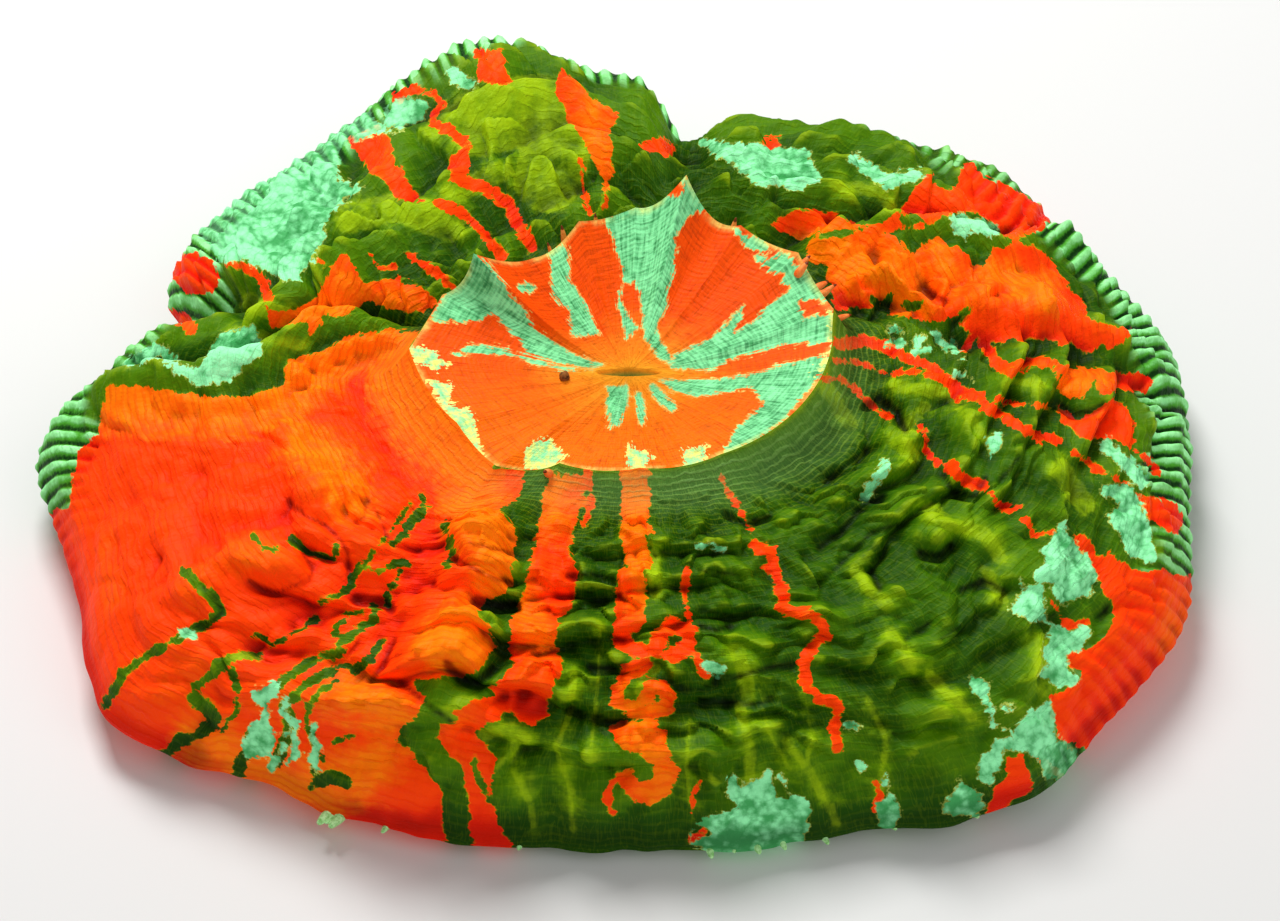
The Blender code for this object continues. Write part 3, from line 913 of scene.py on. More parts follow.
# Where the orange flesh is amber.
AMBER = Marking(
    shapes=strands(
        (19, (104, 398), (160, 402), (230, 406), (286, 396), (300, 372), (350, 348), (410, 346)),
        (26, (400, 380), (430, 420), (470, 470)), (12, (300, 440), (340, 470), (350, 500)),
        (20, (470, 506), (500, 540), (500, 580)), (14, (460, 620), (470, 650), (440, 640)),
        (10, (556, 480), (552, 520)), (8, (520, 604), (540, 640)),
        (12, (634, 480), (636, 530), (652, 600)), (12, (640, 700), (640, 740), (660, 790)),
        (13, (200, 735), (250, 770), (330, 790), (380, 760)), (14, (350, 690), (390, 720)),
        (20, (820, 248), (860, 262), (900, 262), (905, 290)), (8, (940, 250), (950, 280)),
        (9, (990, 270), (1040, 290)), (10, (1050, 392), (1085, 385)), (7, (590, 110), (600, 180)),
        (10, (300, 312), (340, 300), (400, 300)), (8, (1190, 590), (1170, 640)),
    ),
)

# Where the green is drawn darker and its painted highlights weaker.
DARK = Marking(
    shapes=strands(
        (13, (455, 150), (480, 180), (530, 190)), (12, (480, 200), (540, 225), (560, 200)),
        (20, (640, 165), (700, 175), (770, 210)), (12, (400, 285), (450, 270)),
        (8, (980, 358), (990, 330), (1010, 350)),
        (26, (690, 500), (700, 560), (690, 640), (700, 720), (700, 800)),
        (17, (600, 500), (596, 560), (590, 640), (590, 720), (590, 800)),
        (26, (780, 470), (830, 460), (860, 500), (800, 560)), (20, (780, 660), (800, 740), (790, 780)),
        (20, (860, 640), (880, 700), (900, 760), (930, 790)),
        (18, (830, 560), (880, 540), (920, 580), (960, 620), (990, 650)), (20, (530, 760), (560, 800)),
        (12, (1000, 620), (1010, 680)), (8, (960, 445), (985, 458)),
        (14, (1020, 410), (1000, 440), (1040, 490)),
    ),
)

# Creases that lie deep between the soft lobes. They are carved into the mantle, and the finish also darkens
# them as painted shade.
CREASES = Marking(
    shapes=strands(
        (1.8, (289, 500), (306, 516), (326, 525), (340, 539), (348, 553), (349, 577)),
        (1, (342, 485), (359, 496), (366, 508), (364, 518), (356, 521)),
        (1, (366, 499), (376, 511), (384, 528), (388, 540), (404, 546), (421, 551)),
        (1.6, (292, 541), (308, 552), (333, 560)),
        (1.6, (303, 555), (313, 568), (310, 580), (294, 586), (278, 592), (262, 590), (248, 580)),
        (4.6, (356, 598), (370, 599), (384, 600), (391, 608)),
        (2.6, (205, 588), (216, 600), (223, 612), (212, 621), (194, 626)),
        (1.6, (470, 542), (490, 548), (514, 553)), (2.4, (452, 556), (470, 566), (500, 580), (514, 582)),
        (5, (476, 600), (500, 606), (514, 604)), (5, (447, 664), (460, 678), (478, 682), (492, 668)),
        (2.6, (400, 682), (416, 694), (432, 708), (452, 722)), (1.6, (360, 640), (350, 652), (330, 660)),
        (1.6, (395, 640), (386, 660), (372, 680)), (4, (590, 667), (606, 668), (624, 666)),
        (3.4, (596, 716), (612, 722), (624, 722)), (2.6, (568, 576), (590, 574), (618, 580)),
        (2, (572, 594), (592, 592)), (3, (700, 626), (716, 630), (730, 626)),
        (2.6, (700, 700), (726, 702), (756, 704), (772, 698)),
        (2.8, (716, 678), (740, 676), (768, 668), (794, 664)), (2, (676, 688), (700, 690), (716, 682)),
        (1.6, (690, 688), (660, 678), (640, 680)), (2, (556, 700), (585, 714)),
        (2.2, (725, 512), (745, 524), (770, 516)), (2, (818, 548), (842, 530), (862, 506), (884, 496)),
        (1.6, (810, 590), (836, 568), (872, 532), (900, 524)), (1.6, (826, 480), (850, 462), (866, 450)),
        (2, (880, 590), (870, 566), (884, 548)), (4, (920, 552), (940, 556), (950, 545)),
        (3.4, (960, 590), (985, 580), (1002, 590)), (3.4, (945, 475), (952, 492), (975, 496), (985, 478)),
        (2.4, (1000, 480), (1010, 470), (1018, 458)), (4, (866, 405), (880, 398), (896, 410), (905, 430)),
        (3.4, (1060, 404), (1074, 414), (1092, 412), (1104, 404)),
        (3.6, (925, 288), (936, 297), (946, 301)), (3.4, (880, 302), (890, 306)),
        (2.6, (908, 306), (920, 306)), (3, (952, 322), (966, 316)), (3, (1100, 618), (1108, 606)),
        (1.8, (905, 640), (930, 622)), (1.6, (940, 640), (962, 625)), (1.8, (610, 600), (580, 604)),
        (1.8, (700, 570), (740, 575)), (1.8, (700, 610), (735, 616), (760, 608)),
    ),
)

# Soft lobes: pixel of the middle, half widths across and down, and height in millimetres.
LOBES: tuple[tuple[float, float, float, float, float], ...] = (
    (298, 376, 16, 13, 1.5), (318, 364, 15, 11, 1.3), (340, 354, 15, 10, 1.4), (362, 346, 14, 9, 1.2),
    (386, 342, 14, 9, 1.1), (264, 398, 18, 9, 1.0), (226, 404, 20, 8, 0.8), (184, 404, 18, 8, 0.8),
    (176, 452, 60, 20, 0.8), (150, 524, 50, 22, 0.7), (232, 508, 40, 14, 0.7), (112, 610, 30, 26, 0.6),
    (168, 704, 44, 20, 0.8), (482, 536, 38, 24, 2.4), (488, 570, 30, 20, 1.9), (452, 580, 24, 18, 1.3),
    (462, 640, 44, 34, 2.6), (432, 616, 34, 28, 1.8), (412, 652, 30, 24, 1.3), (326, 492, 40, 20, 1.9),
    (300, 470, 34, 18, 1.0), (262, 560, 50, 28, 1.8), (200, 585, 20, 18, 1.2), (300, 536, 30, 18, 1.0),
    (336, 614, 20, 15, 1.3), (374, 574, 18, 12, 1.2), (306, 640, 20, 12, 1.1), (372, 716, 44, 32, 1.9),
    (340, 716, 22, 24, 1.1), (396, 790, 44, 34, 1.4), (212, 668, 22, 14, 0.9), (226, 745, 24, 18, 1.0),
    (250, 668, 20, 14, 0.9), (318, 512, 22, 12, 0.9), (246, 480, 26, 16, 0.9), (290, 430, 22, 14, 0.7),
    (392, 500, 22, 20, 0.8), (530, 680, 32, 26, 1.3), (520, 640, 24, 24, 1.0), (548, 560, 28, 24, 0.9),
    (466, 706, 20, 10, 0.9), (850, 270, 32, 24, 1.2), (896, 264, 24, 30, 1.5), (946, 266, 28, 24, 1.7),
    (985, 292, 24, 26, 1.0), (1040, 300, 34, 30, 1.0), (920, 388, 34, 18, 1.1), (958, 420, 26, 18, 1.0),
    (1026, 384, 26, 20, 1.1), (1076, 392, 20, 16, 0.9), (1040, 464, 38, 20, 0.9), (930, 530, 26, 18, 1.1),
    (985, 536, 30, 20, 0.9), (895, 600, 20, 16, 0.7), (862, 586, 16, 16, 0.8), (900, 640, 22, 14, 0.8),
    (912, 664, 20, 12, 0.7), (950, 700, 22, 16, 0.7), (838, 424, 12, 9, 0.8), (836, 398, 12, 9, 0.7),
    (898, 440, 26, 14, 1.2), (968, 470, 22, 14, 0.9), (650, 640, 26, 16, 1.2), (648, 694, 24, 20, 1.3),
    (640, 738, 28, 18, 1.0), (650, 785, 30, 26, 1.2), (640, 556, 22, 28, 1.0), (746, 676, 18, 20, 0.9),
    (812, 630, 20, 18, 1.0), (440, 214, 34, 20, 0.6), (300, 300, 30, 18, 0.6), (1060, 580, 28, 24, 0.9),
    (1050, 660, 20, 24, 0.9), (765, 815, 34, 18, 0.8),
)

DISC_MINT = Marking(
    shapes=patches(
        ((475, 250), (492, 268), (512, 297), (524, 309), (534, 329), (572, 354), (604, 364), (591, 370),
         (566, 364), (528, 354), (518, 338), (492, 313), (480, 322), (445, 322), (430, 318), (440, 303)),
        ((454, 354), (473, 345), (505, 348), (534, 360), (579, 370), (553, 368), (515, 357), (480, 354)),
        ((550, 250), (568, 245), (569, 278), (585, 303), (598, 335), (572, 335), (569, 309), (553, 297)),
        ((604, 220), (636, 200), (681, 195), (685, 175), (700, 185), (706, 211), (690, 214), (677, 233),
         (673, 278), (665, 309), (655, 332), (671, 354), (677, 367), (655, 354), (646, 341), (641, 303),
         (636, 281), (623, 284), (620, 300), (638, 329), (626, 338), (617, 303), (623, 278), (614, 239)),
        ((744, 306), (713, 338), (674, 354), (671, 367), (706, 370), (738, 357), (783, 345), (840, 340),
         (840, 313), (805, 319), (799, 303), (825, 290), (805, 281), (776, 300), (760, 316), (735, 332)),
        ((661, 380), (719, 380), (764, 370), (840, 351), (822, 375), (800, 398), (784, 420), (756, 440),
         (722, 458), (735, 431), (764, 402), (751, 388), (697, 396), (668, 389)),
        ((607, 386), (626, 386), (628, 408), (620, 424), (610, 427), (607, 405)),
        ((735, 227), (748, 236), (764, 240), (770, 252), (752, 250), (740, 241)),
        ((752, 254), (768, 258), (782, 252), (796, 262), (786, 276), (772, 272), (762, 266)),
        ((786, 262), (808, 270), (828, 282), (828, 300), (812, 298), (800, 288), (782, 284)),
        ((800, 322), (812, 318), (822, 326), (812, 334), (802, 332)),
    )
    + strands(
        (4, (522, 287), (530, 287)), (3.5, (639, 396), (642, 420)),
        (4, (653, 388), (662, 398), (672, 407)),
    ),
)

DISC_CREAM = Marking(
    shapes=patches(
        ((524, 449), (538, 438), (552, 440), (566, 456), (545, 472), (524, 468)),
        ((428, 380), (453, 383), (448, 402), (473, 411), (477, 437), (489, 470), (473, 450), (446, 415)),
        ((405, 344), (435, 350), (448, 364), (438, 372), (415, 362)),
        ((628, 444), (655, 457), (640, 472), (626, 466)),
        ((681, 449), (706, 445), (706, 468), (684, 470)),
    )
    + strands(
        (2.5, (830, 314), (834, 345), (815, 374)),
    ),
)


class Glow(Enum):
    """Strength of the painted glow of each kind of flesh, which stands in for its fluorescence."""

    MANTLE = 0.2
    DISC = 0.18
    SMALL_PIECES = 0.12


class Signal:
    """A value that changes over a surface. Sums on it add Math nodes."""

    def __init__(self, bench: "Bench", socket: bpy.types.NodeSocket) -> None:
        """Wraps a socket of the bench's node tree."""
        self.bench = bench
        self.socket = socket

    def _sum(self, operation: str, first: "Signal | float", second: "Signal | float") -> "Signal":
        """Adds a Math node."""
        return self.bench.node("ShaderNodeMath", {"operation": operation}, {0: first, 1: second})

    def __add__(self, other: "Signal | float") -> "Signal":
        """This value plus another."""
        return self._sum("ADD", self, other)

    __radd__ = __add__

    def __sub__(self, other: "Signal | float") -> "Signal":
        """This value less another."""
        return self._sum("SUBTRACT", self, other)

    def __rsub__(self, other: "Signal | float") -> "Signal":
        """Another value less this one."""
        return self._sum("SUBTRACT", other, self)

    def __mul__(self, other: "Signal | float") -> "Signal":
        """This value times another."""
        return self._sum("MULTIPLY", self, other)

    __rmul__ = __mul__

    def sine(self) -> "Signal":
        """The sine of this value in radians."""
        return self.bench.node("ShaderNodeMath", {"operation": "SINE"}, {0: self})

    def step(self, start: float, end: float) -> "Signal":
        """A smooth rise from 0 to 1.

        Args:
            start: This value where the rise starts.
            end: This value where it ends.

        Returns:
            The rise.
        """
        ends = {"From Min": start, "From Max": end, "To Min": 0.0, "To Max": 1.0}
        smooth = {"interpolation_type": "SMOOTHSTEP"}
        return self.bench.node("ShaderNodeMapRange", smooth, {"Value": self, **ends})


class Bench:
    """One material's node tree and the ways to add to it."""

    def __init__(self, name: str) -> None:
        """Starts a material with a Principled shader.

        Args:
            name: The material's name.
        """
        self.material = bpy.data.materials.new(name)
        self.material.use_nodes = True
        self.tree = self.material.node_tree
        self.shader = self.tree.nodes["Principled BSDF"]

    def put(self, socket: bpy.types.NodeSocket, value: "Signal | Colour | float") -> None:
        """Links a signal to a socket or sets its value.

        Args:
            socket: The input socket.
            value: A signal, a colour or a number.
        """
        if isinstance(value, Signal):
            self.tree.links.new(value.socket, socket)
        elif isinstance(value, tuple) and len(socket.default_value) == 4:
            socket.default_value = (*value, 1.0)
        else:
            socket.default_value = value

    def node(self, kind: str, settings: dict, inputs: dict, output: int = 0) -> Signal:
        """Adds a node.

        Args:
            kind: The node's type.
            settings: Its own settings, set before its sockets.
            inputs: Values or signals for its sockets, by name or number.
            output: Which of its outputs is used.

        Returns:
            The output.
        """
        made = self.tree.nodes.new(kind)
        for name, value in settings.items():
            setattr(made, name, value)
        for key, value in inputs.items():
            self.put(made.inputs[key], value)
        return Signal(self, made.outputs[output])

    def attribute(self, name: str) -> Signal:
        """A number kept on the mesh's vertices."""
        return self.node("ShaderNodeAttribute", {"attribute_name": name}, {}, 2)

    def place(self) -> Signal:
        """Object coordinates, in metres."""
        return self.node("ShaderNodeTexCoord", {}, {}, 3)

    def noise(self, size: float, detail: float = 2.0, roughness: float = 0.5) -> Signal:
        """Noise about 0, from -0.5 to 0.5, in the object's space.

        Args:
            size: Size of its features in millimetres.
            detail: Octaves of finer noise in it.
            roughness: How strong the finer octaves are.

        Returns:
            The noise.
        """
        scale = 1 / (size * MM)
        inputs = {"Vector": self.place(), "Scale": scale, "Detail": detail, "Roughness": roughness}
        return self.node("ShaderNodeTexNoise", {}, inputs) - 0.5

    def streaks(self, round_the_mouth: float, outwards: float, detail: float = 2.0) -> Signal:
        """Noise about 0, from -0.5 to 0.5, that is stretched round the mouth or away from it.

        Args:
            round_the_mouth: Features to each tenth of a radian round the mouth.
            outwards: Features to each tenth of a station.
            detail: Octaves of finer noise in it.

        Returns:
            The noise.
        """
        flow = self.node("ShaderNodeAttribute", {"attribute_name": "flow"}, {}, 1)
        scale = (round_the_mouth, round_the_mouth, outwards)
        stretched = self.node("ShaderNodeVectorMath", {"operation": "MULTIPLY"}, {0: flow, 1: scale})
        settings = {"Vector": stretched, "Scale": 1.0, "Detail": detail, "Roughness": 0.6}
        return self.node("ShaderNodeTexNoise", {}, settings) - 0.5

    def cells(self, size: float) -> Signal:
        """Distance from the middle of the nearest of many small cells, 0 to about 0.8.

        Args:
            size: Size of a cell in millimetres.

        Returns:
            The distance as a share of the cell's size.
        """
        settings = {"Vector": self.place(), "Scale": 1 / (size * MM)}
        return self.node("ShaderNodeTexVoronoi", {"feature": "F1"}, settings)

    def mix(self, share: "Signal | float", low: "Signal | Colour", high: "Signal | Colour") -> Signal:
        """A colour between two.

        Args:
            share: 0 for the low colour, 1 for the high one.
            low: The one colour.
            high: The other colour.

        Returns:
            The colour.
        """
        return self.node("ShaderNodeMix", {"data_type": "RGBA"}, {0: share, 6: low, 7: high}, 2)

    def shade(self, colour: Signal, share: Signal) -> Signal:
        """A colour darkened to a share of itself."""
        return self.node("ShaderNodeMix", {"data_type": "RGBA"}, {0: share, 6: (0.0, 0.0, 0.0), 7: colour}, 2)

    def dress(self, colour: Signal, height: Signal, depth: float) -> None:
        """Feeds the shader with what varies over the surface.

        Args:
            colour: Base colour, which also glows faintly as painted glow that stands in for the flesh's
                fluorescence.
            height: Height of the fine relief, about 0 to 1.
            depth: Depth of that relief in millimetres.
        """
        self.put(self.shader.inputs["Base Color"], colour)
        self.put(self.shader.inputs["Emission Color"], colour)
        bump = self.node("ShaderNodeBump", {}, {"Strength": 1.0, "Distance": depth * MM, "Height": height})
        self.put(self.shader.inputs["Normal"], bump)

    def finish(self, roughness: float, specular: float, glow: Glow) -> bpy.types.Material:
        """Sets what is the same all over the surface.

        Args:
            roughness: Roughness of the surface.
            specular: Strength of its gloss.
            glow: Strength of its painted glow, which stands in for fluorescence.

        Returns:
            The finished material.
        """
        self.put(self.shader.inputs["Roughness"], roughness)
        self.put(self.shader.inputs["Specular IOR Level"], specular)
        self.put(self.shader.inputs["Emission Strength"], glow.value)
        return self.material


class MantleSignals:
    """What varies over the mantle: noise of several kinds, and the values that its meshes keep."""

    skin_lines: int = 62

    def __init__(self, bench: Bench) -> None:
        """Adds the nodes that the mantle's colours share.

        Args:
            bench: The material's bench.
        """
        self.broad = bench.noise(8.0, 2.0)
        self.mottle = bench.noise(2.4, 4.0, 0.6)
        self.lace = bench.noise(1.5, 4.0, 0.62)
        self.grain = bench.noise(0.5, 2.0, 0.6)
        self.torn = bench.streaks(1.2, 4.2, 3.0)
        self.drapes = bench.streaks(5.0, 0.9, 2.0)
        self.scaly = bench.cells(0.95)
        self.crest = bench.attribute("crest")
        self.swell = bench.attribute("swell")
        lines = bench.attribute("station") * (math.tau * self.skin_lines) + self.mottle * 8.0
        self.faint = (lines + self.torn * 5.0).sine().step(0.1, 1.0) * (0.5 + self.mottle * 2.0)
        self.threads = (self.drapes * 46.0 + self.mottle * 3.0).sine().step(0.6, 1.0)
        self.orange_depth = bench.attribute("orange") + self.torn * 1.9 + self.lace * 1.1 + self.grain * 0.5
        self.orange_mask = self.orange_depth.step(-0.07, 0.07)
        self.mint_depth = bench.attribute("mint") + self.torn * 2.0 + self.lace * 2.2 + self.grain * 0.7
        self.mint_mask = self.mint_depth.step(-0.08, 0.12)
        self.olive_mask = (bench.attribute("olive") + self.mottle * 3.5 + self.torn * 3.0).step(-1.2, 1.4)
        self.amber_mask = (bench.attribute("amber") + self.mottle * 4.0 + self.torn * 4.0).step(-3.2, 1.4)
        self.dark_mask = (bench.attribute("dark") + self.mottle * 3.0 + self.torn * 3.0).step(-1.6, 1.2)
        # Painted shade in the creases, where the crease marking lies.
        self.crease_shade = (bench.attribute("crease") + self.lace * 0.5).step(-0.3, 0.4)


@dataclass(frozen=True)
class MantleFlesh:
    """Flesh of the mantle and margin: dark green with olive markings and painted olive highlights on its
    crests, orange fields and mint lace, with painted shade in its hollows, creases and rib grooves.
    """

    green_dark: Colour = srgb(28, 68, 0)
    green_mid: Colour = srgb(56, 104, 0)
    # Olive of the olive markings and of the painted highlight on crests.
    olive: Colour = srgb(124, 162, 2)
    # Lime of the streaks, the net and the borders, and of the painted highlight on the highest crests.
    lime: Colour = srgb(176, 204, 18)
    # Red of the fine lines, and of the painted shade in hollows and in the grooves of orange ribs.
    red: Colour = srgb(232, 26, 0)
    # Deep red of the painted shade in the creases of the orange flesh.
    crease_shade_red: Colour = srgb(132, 6, 0)
    orange: Colour = srgb(255, 64, 0)
    # Amber of the amber markings and borders, and of the painted highlight on broad swells.
    amber: Colour = srgb(255, 122, 2)
    mint: Colour = srgb(150, 246, 176)
    teal: Colour = srgb(66, 160, 88)
    cream: Colour = srgb(226, 230, 104)
    # Dark green of the painted shade in the grooves between the ribs.
    groove_shade: Colour = srgb(12, 52, 8)
    rib_green: Colour = srgb(76, 160, 44)
    # Pale mint of the rib crests, partly painted highlight.
    rib_crest_and_highlight: Colour = srgb(164, 250, 168)
    haze: Colour = srgb(104, 148, 76)
    relief_depth: float = 0.25
    roughness: float = 0.55
    specular: float = 0.07

    def make(self) -> bpy.types.Material:
        """The material, which reads the vertex values that the mantle's meshes keep.

        Returns:
            The material.
        """
        bench = Bench("mantle_flesh")
        over = MantleSignals(bench)
        green = self.green(bench, over)
        orange = self.orange_flesh(bench, over)
        mint = self.mint_lace(bench, over)
        skin = bench.mix(over.orange_mask, green, orange)
        skin = bench.mix(over.mint_depth.step(-0.22, -0.06) * (0.3 + over.mottle * 1.8), skin, self.cream)
        skin = bench.mix(over.mint_mask, skin, mint)
        skin = bench.mix(bench.attribute("band"), skin, self.ribs(bench, over, mint))
        haze = bench.attribute("collar") * (0.6 + over.faint + over.threads * 0.3)
        skin = bench.mix(haze, skin, self.haze)
        # Painted shade: darker in the hollows of the fine and broad relief, less so over orange, and darker
        # still in the creases.
        deep = (over.crest * 0.6 + over.swell * 0.4).step(-1.3, 0.0) * 0.8 + 0.2 + over.orange_mask * 0.1
        skin = bench.shade(skin, deep * (1.0 - over.crease_shade * (0.86 - over.orange_mask * 0.66)))
        relief = 0.5 + over.faint * 0.4 + over.grain * 0.3 + over.lace * 0.5
        relief = relief + over.drapes * 0.7 + over.torn * 0.6 - over.mint_mask * over.scaly * 0.6
        bench.dress(skin, relief, self.relief_depth)
        return bench.finish(self.roughness, self.specular, Glow.MANTLE)

    def green(self, bench: Bench, over: "MantleSignals") -> Signal:
        """Dark green flesh, lighter on broad swells as painted light, with olive and lime painted highlights
        on its crests, olive markings, lime streaks and the fine net round the disc.

        Args:
            bench: The material's bench.
            over: What varies over the mantle.

        Returns:
            The colour.
        """
        # Painted light: the green is lighter on broad swells as well as in its mottled tone, and darker where
        # the dark marking lies.
        light = over.broad * 0.8 + over.mottle * 0.8 + over.swell * 0.5 + over.torn * 0.6
        light = light - over.dark_mask * 0.22
        green = bench.mix(light.step(-0.4, 0.4), self.green_dark, self.green_mid)
        # Painted highlight: olive on swells and crests, weaker over the dark marking; the olive markings add
        # their own olive.
        high = over.swell * 0.7 + over.crest * 0.35 + over.mottle * 0.8 + over.torn * 0.4 + 0.25
        high = high.step(0.0, 0.8)
        olive_and_crest_highlight = high * (0.14 - over.dark_mask * 0.08) + over.olive_mask * (high * 0.6 + 0.2 + over.mottle)
        green = bench.mix(olive_and_crest_highlight, green, self.olive)
        streak = (bench.attribute("olive") + over.lace * 0.9 + over.drapes).step(0.0, 0.4)
        green = bench.mix(streak * (0.24 + over.mottle * 0.9), green, self.lime)
        # Painted highlight: lime on the highest crests.
        green = bench.mix((over.crest * 0.6 + over.torn).step(0.4, 1.0) * 0.35, green, self.lime)
        near_disc = bench.attribute("station").step(1.34, 1.04)
        net = (over.threads * 0.08 + over.faint * 0.2) * near_disc + over.threads * 0.05 + over.faint * 0.06
        green = bench.mix(net, green, self.lime)
        border = over.orange_depth.step(-0.2, -0.06) * (0.1 + over.mottle * 1.6)
        return bench.mix(border, green, self.lime)

    def orange_flesh(self, bench: Bench, over: "MantleSignals") -> Signal:
        """Orange flesh, red in its hollows and deep red in its creases as painted shade, amber on its ridges
        and borders, the ridges partly as painted highlight on swells.

        Args:
            bench: The material's bench.
            over: What varies over the mantle.

        Returns:
            The colour.
        """
        # Painted shade: red in the hollows, orange on raised places.
        raised = (over.swell * 0.9 + over.crest * 0.4 + over.mottle * 0.4).step(-1.0, 0.1)
        orange = bench.mix(raised, self.red, self.orange)
        # Painted highlight: amber on broad swells, on top of the amber markings.
        glow = (over.swell * 0.5 + over.broad * 0.6 + over.mottle * 0.8 + over.torn * 0.5).step(0.1, 0.8)
        amber_and_highlight = glow * 0.4 + over.amber_mask * (0.85 + over.mottle + over.torn * 0.6)
        orange = bench.mix(amber_and_highlight, orange, self.amber)
        orange = bench.mix(over.faint * 0.4, orange, self.red)
        border = over.orange_depth.step(0.26, 0.06) * (0.2 + over.mottle * 1.8)
        orange = bench.mix(border, orange, self.amber)
        # Painted shade: the orange turns deep red in the creases.
        return bench.mix(over.crease_shade * 0.8, orange, self.crease_shade_red)

    def mint_lace(self, bench: Bench, over: "MantleSignals") -> Signal:
        """Mint flesh in small scales, a little paler on raised places as painted light.

        Args:
            bench: The material's bench.
            over: What varies over the mantle.

        Returns:
            The colour.
        """
        # Raised places are a little paler, as painted light.
        scales = over.mottle * 1.1 + over.lace * 0.8 + over.torn * 0.4 + over.swell * 0.25
        return bench.mix((scales - over.scaly * 0.5).step(-0.57, 0.04), self.teal, self.mint)

    def ribs(self, bench: Bench, over: "MantleSignals", mint: Signal) -> Signal:
        """The ribs of the margin: green with pale mint crests that are partly painted highlight and dark
        painted shade in the grooves, or orange with red painted shade in the grooves, or mint, where those
        fields reach them.

        Args:
            bench: The material's bench.
            over: What varies over the mantle.
            mint: The colour of the mint flesh.

        Returns:
            The colour.
        """
        bead = bench.attribute("bead") + over.grain * 0.3
        upper = bench.attribute("station").step(2.2, 1.9)
        crest_pale_higher_up = upper * 0.6 + 0.4
        # Painted shade: dark green in the grooves between the ribs.
        beads = bench.mix(bead.step(0.04, 0.36), self.groove_shade, self.rib_green)
        # Pale crests: mint beads, partly painted highlight, paler higher up the wall.
        beads = bench.mix(bead.step(0.32, 0.68) * (0.75 + over.mottle * 2.4) * crest_pale_higher_up, beads, self.rib_crest_and_highlight)
        # Painted shade: orange ribs turn red in their grooves.
        beads = bench.mix(over.orange_mask, beads, bench.mix(bead.step(0.05, 0.6), self.red, self.orange))
        return bench.mix(over.mint_mask * upper * (bead.step(0.0, 0.5) * 0.7 + 0.2), beads, mint)


@dataclass(frozen=True)
class DiscFlesh:
    """Flesh of the oral disc: orange with mint sectors, drawn in fine lines from the mouth."""

    orange: Colour = srgb(244, 78, 0)
    deep: Colour = srgb(196, 34, 0)
    amber: Colour = srgb(248, 122, 0)
    pale: Colour = srgb(255, 170, 36)
    mint: Colour = srgb(140, 236, 164)
    teal: Colour = srgb(56, 152, 84)
    cream: Colour = srgb(240, 240, 120)
    slit: Colour = srgb(150, 162, 70)
    rings: int = 44
    relief_depth: float = 0.18
    roughness: float = 0.5
    specular: float = 0.08

    def make(self) -> bpy.types.Material:
        """The material, which reads the vertex values that the disc's mesh keeps.

        Returns:
            The material.
        """
        bench = Bench("disc_flesh")
        mottle = bench.noise(2.4, 3.0, 0.6)
        lace = bench.noise(1.0, 3.0, 0.65)
        grain = bench.noise(0.35, 2.0, 0.6)
        spoke = bench.streaks(6.5, 0.7, 3.0)
        cross = bench.streaks(0.8, 6.5, 2.0)
        station = bench.attribute("station")
        front = bench.attribute("front")

        rings = (station * (math.tau * self.rings) + mottle * 4.0 + cross * 3.0).sine()
        orange = bench.mix((front + mottle * 0.9).step(-0.5, 0.9) * 0.7, self.orange, self.amber)
        orange = bench.mix((spoke * 1.3 + mottle * 0.6).step(0.0, 0.5) * 0.8, orange, self.deep)
        orange = bench.mix((station + mottle * 0.3).step(0.6, 0.16) * 0.6, orange, self.pale)
        weave = (spoke * 1.1 + cross * 0.5 + rings * 0.06 + lace * 0.6 + mottle * 0.6).step(-0.42, 0.3)
        mint = bench.mix(weave, self.teal, self.mint)
        mint_depth = bench.attribute("disc_mint") + spoke * 1.5 + lace * 1.2 + mottle * 0.8 + grain * 0.5
        mint_mask = mint_depth.step(-0.05, 0.07)
        border = mint_depth.step(-0.24, -0.06) * (0.4 + mottle * 1.6)
        skin = bench.mix(border, orange, self.cream)
        skin = bench.mix(mint_mask, skin, mint)
        cream_mask = (bench.attribute("disc_cream") + lace * 2.4 + spoke * 1.6 + grain * 0.8).step(-0.05, 0.1)
        skin = bench.mix(cream_mask, skin, bench.mix(lace.step(-0.15, 0.15), self.mint, self.cream))
        skin = bench.mix((station + spoke * 0.03).step(0.96, 1.0) * (mottle * 2.4 + 0.3), skin, self.cream)
        skin = bench.mix(station.step(0.26, 0.18) * 0.6, skin, self.pale)
        skin = bench.mix(station.step(0.15, 0.11), skin, self.slit)
        lines = (spoke + cross * 0.5 + rings * 0.03).step(-0.36, -0.02)
        knots = (cross * 1.6 + spoke * 0.5 + lace * 0.8).step(-0.34, 0.1)
        skin = bench.shade(skin, (lines * 0.24 + 0.76) * (knots * 0.22 + 0.8))
        relief = 0.5 + spoke * 0.9 + cross * 0.6 + rings * 0.05 + grain * 0.3
        bench.dress(skin, relief, self.relief_depth)
        return bench.finish(self.roughness, self.specular, Glow.DISC)


@dataclass(frozen=True)
class PlainFinish:
    """A finish of two colours mottled together, for the small pieces."""

    name: str
    light: Colour
    dark: Colour
    feature: float
    tip: Colour | None = None
    roughness: float = 0.5
    specular: float = 0.15

    def make(self) -> bpy.types.Material:
        """The material.

        Returns:
            The material.
        """
        bench = Bench(self.name)
        mottle = bench.noise(self.feature, 3.0, 0.6)
        colour = bench.mix(mottle.step(-0.2, 0.2), self.dark, self.light)
        if self.tip:
            colour = bench.mix(bench.attribute("tip").step(0.84, 0.9), colour, self.tip)
        bench.dress(colour, mottle + 0.5, self.feature * 0.15)
        return bench.finish(self.roughness, self.specular, Glow.SMALL_PIECES)


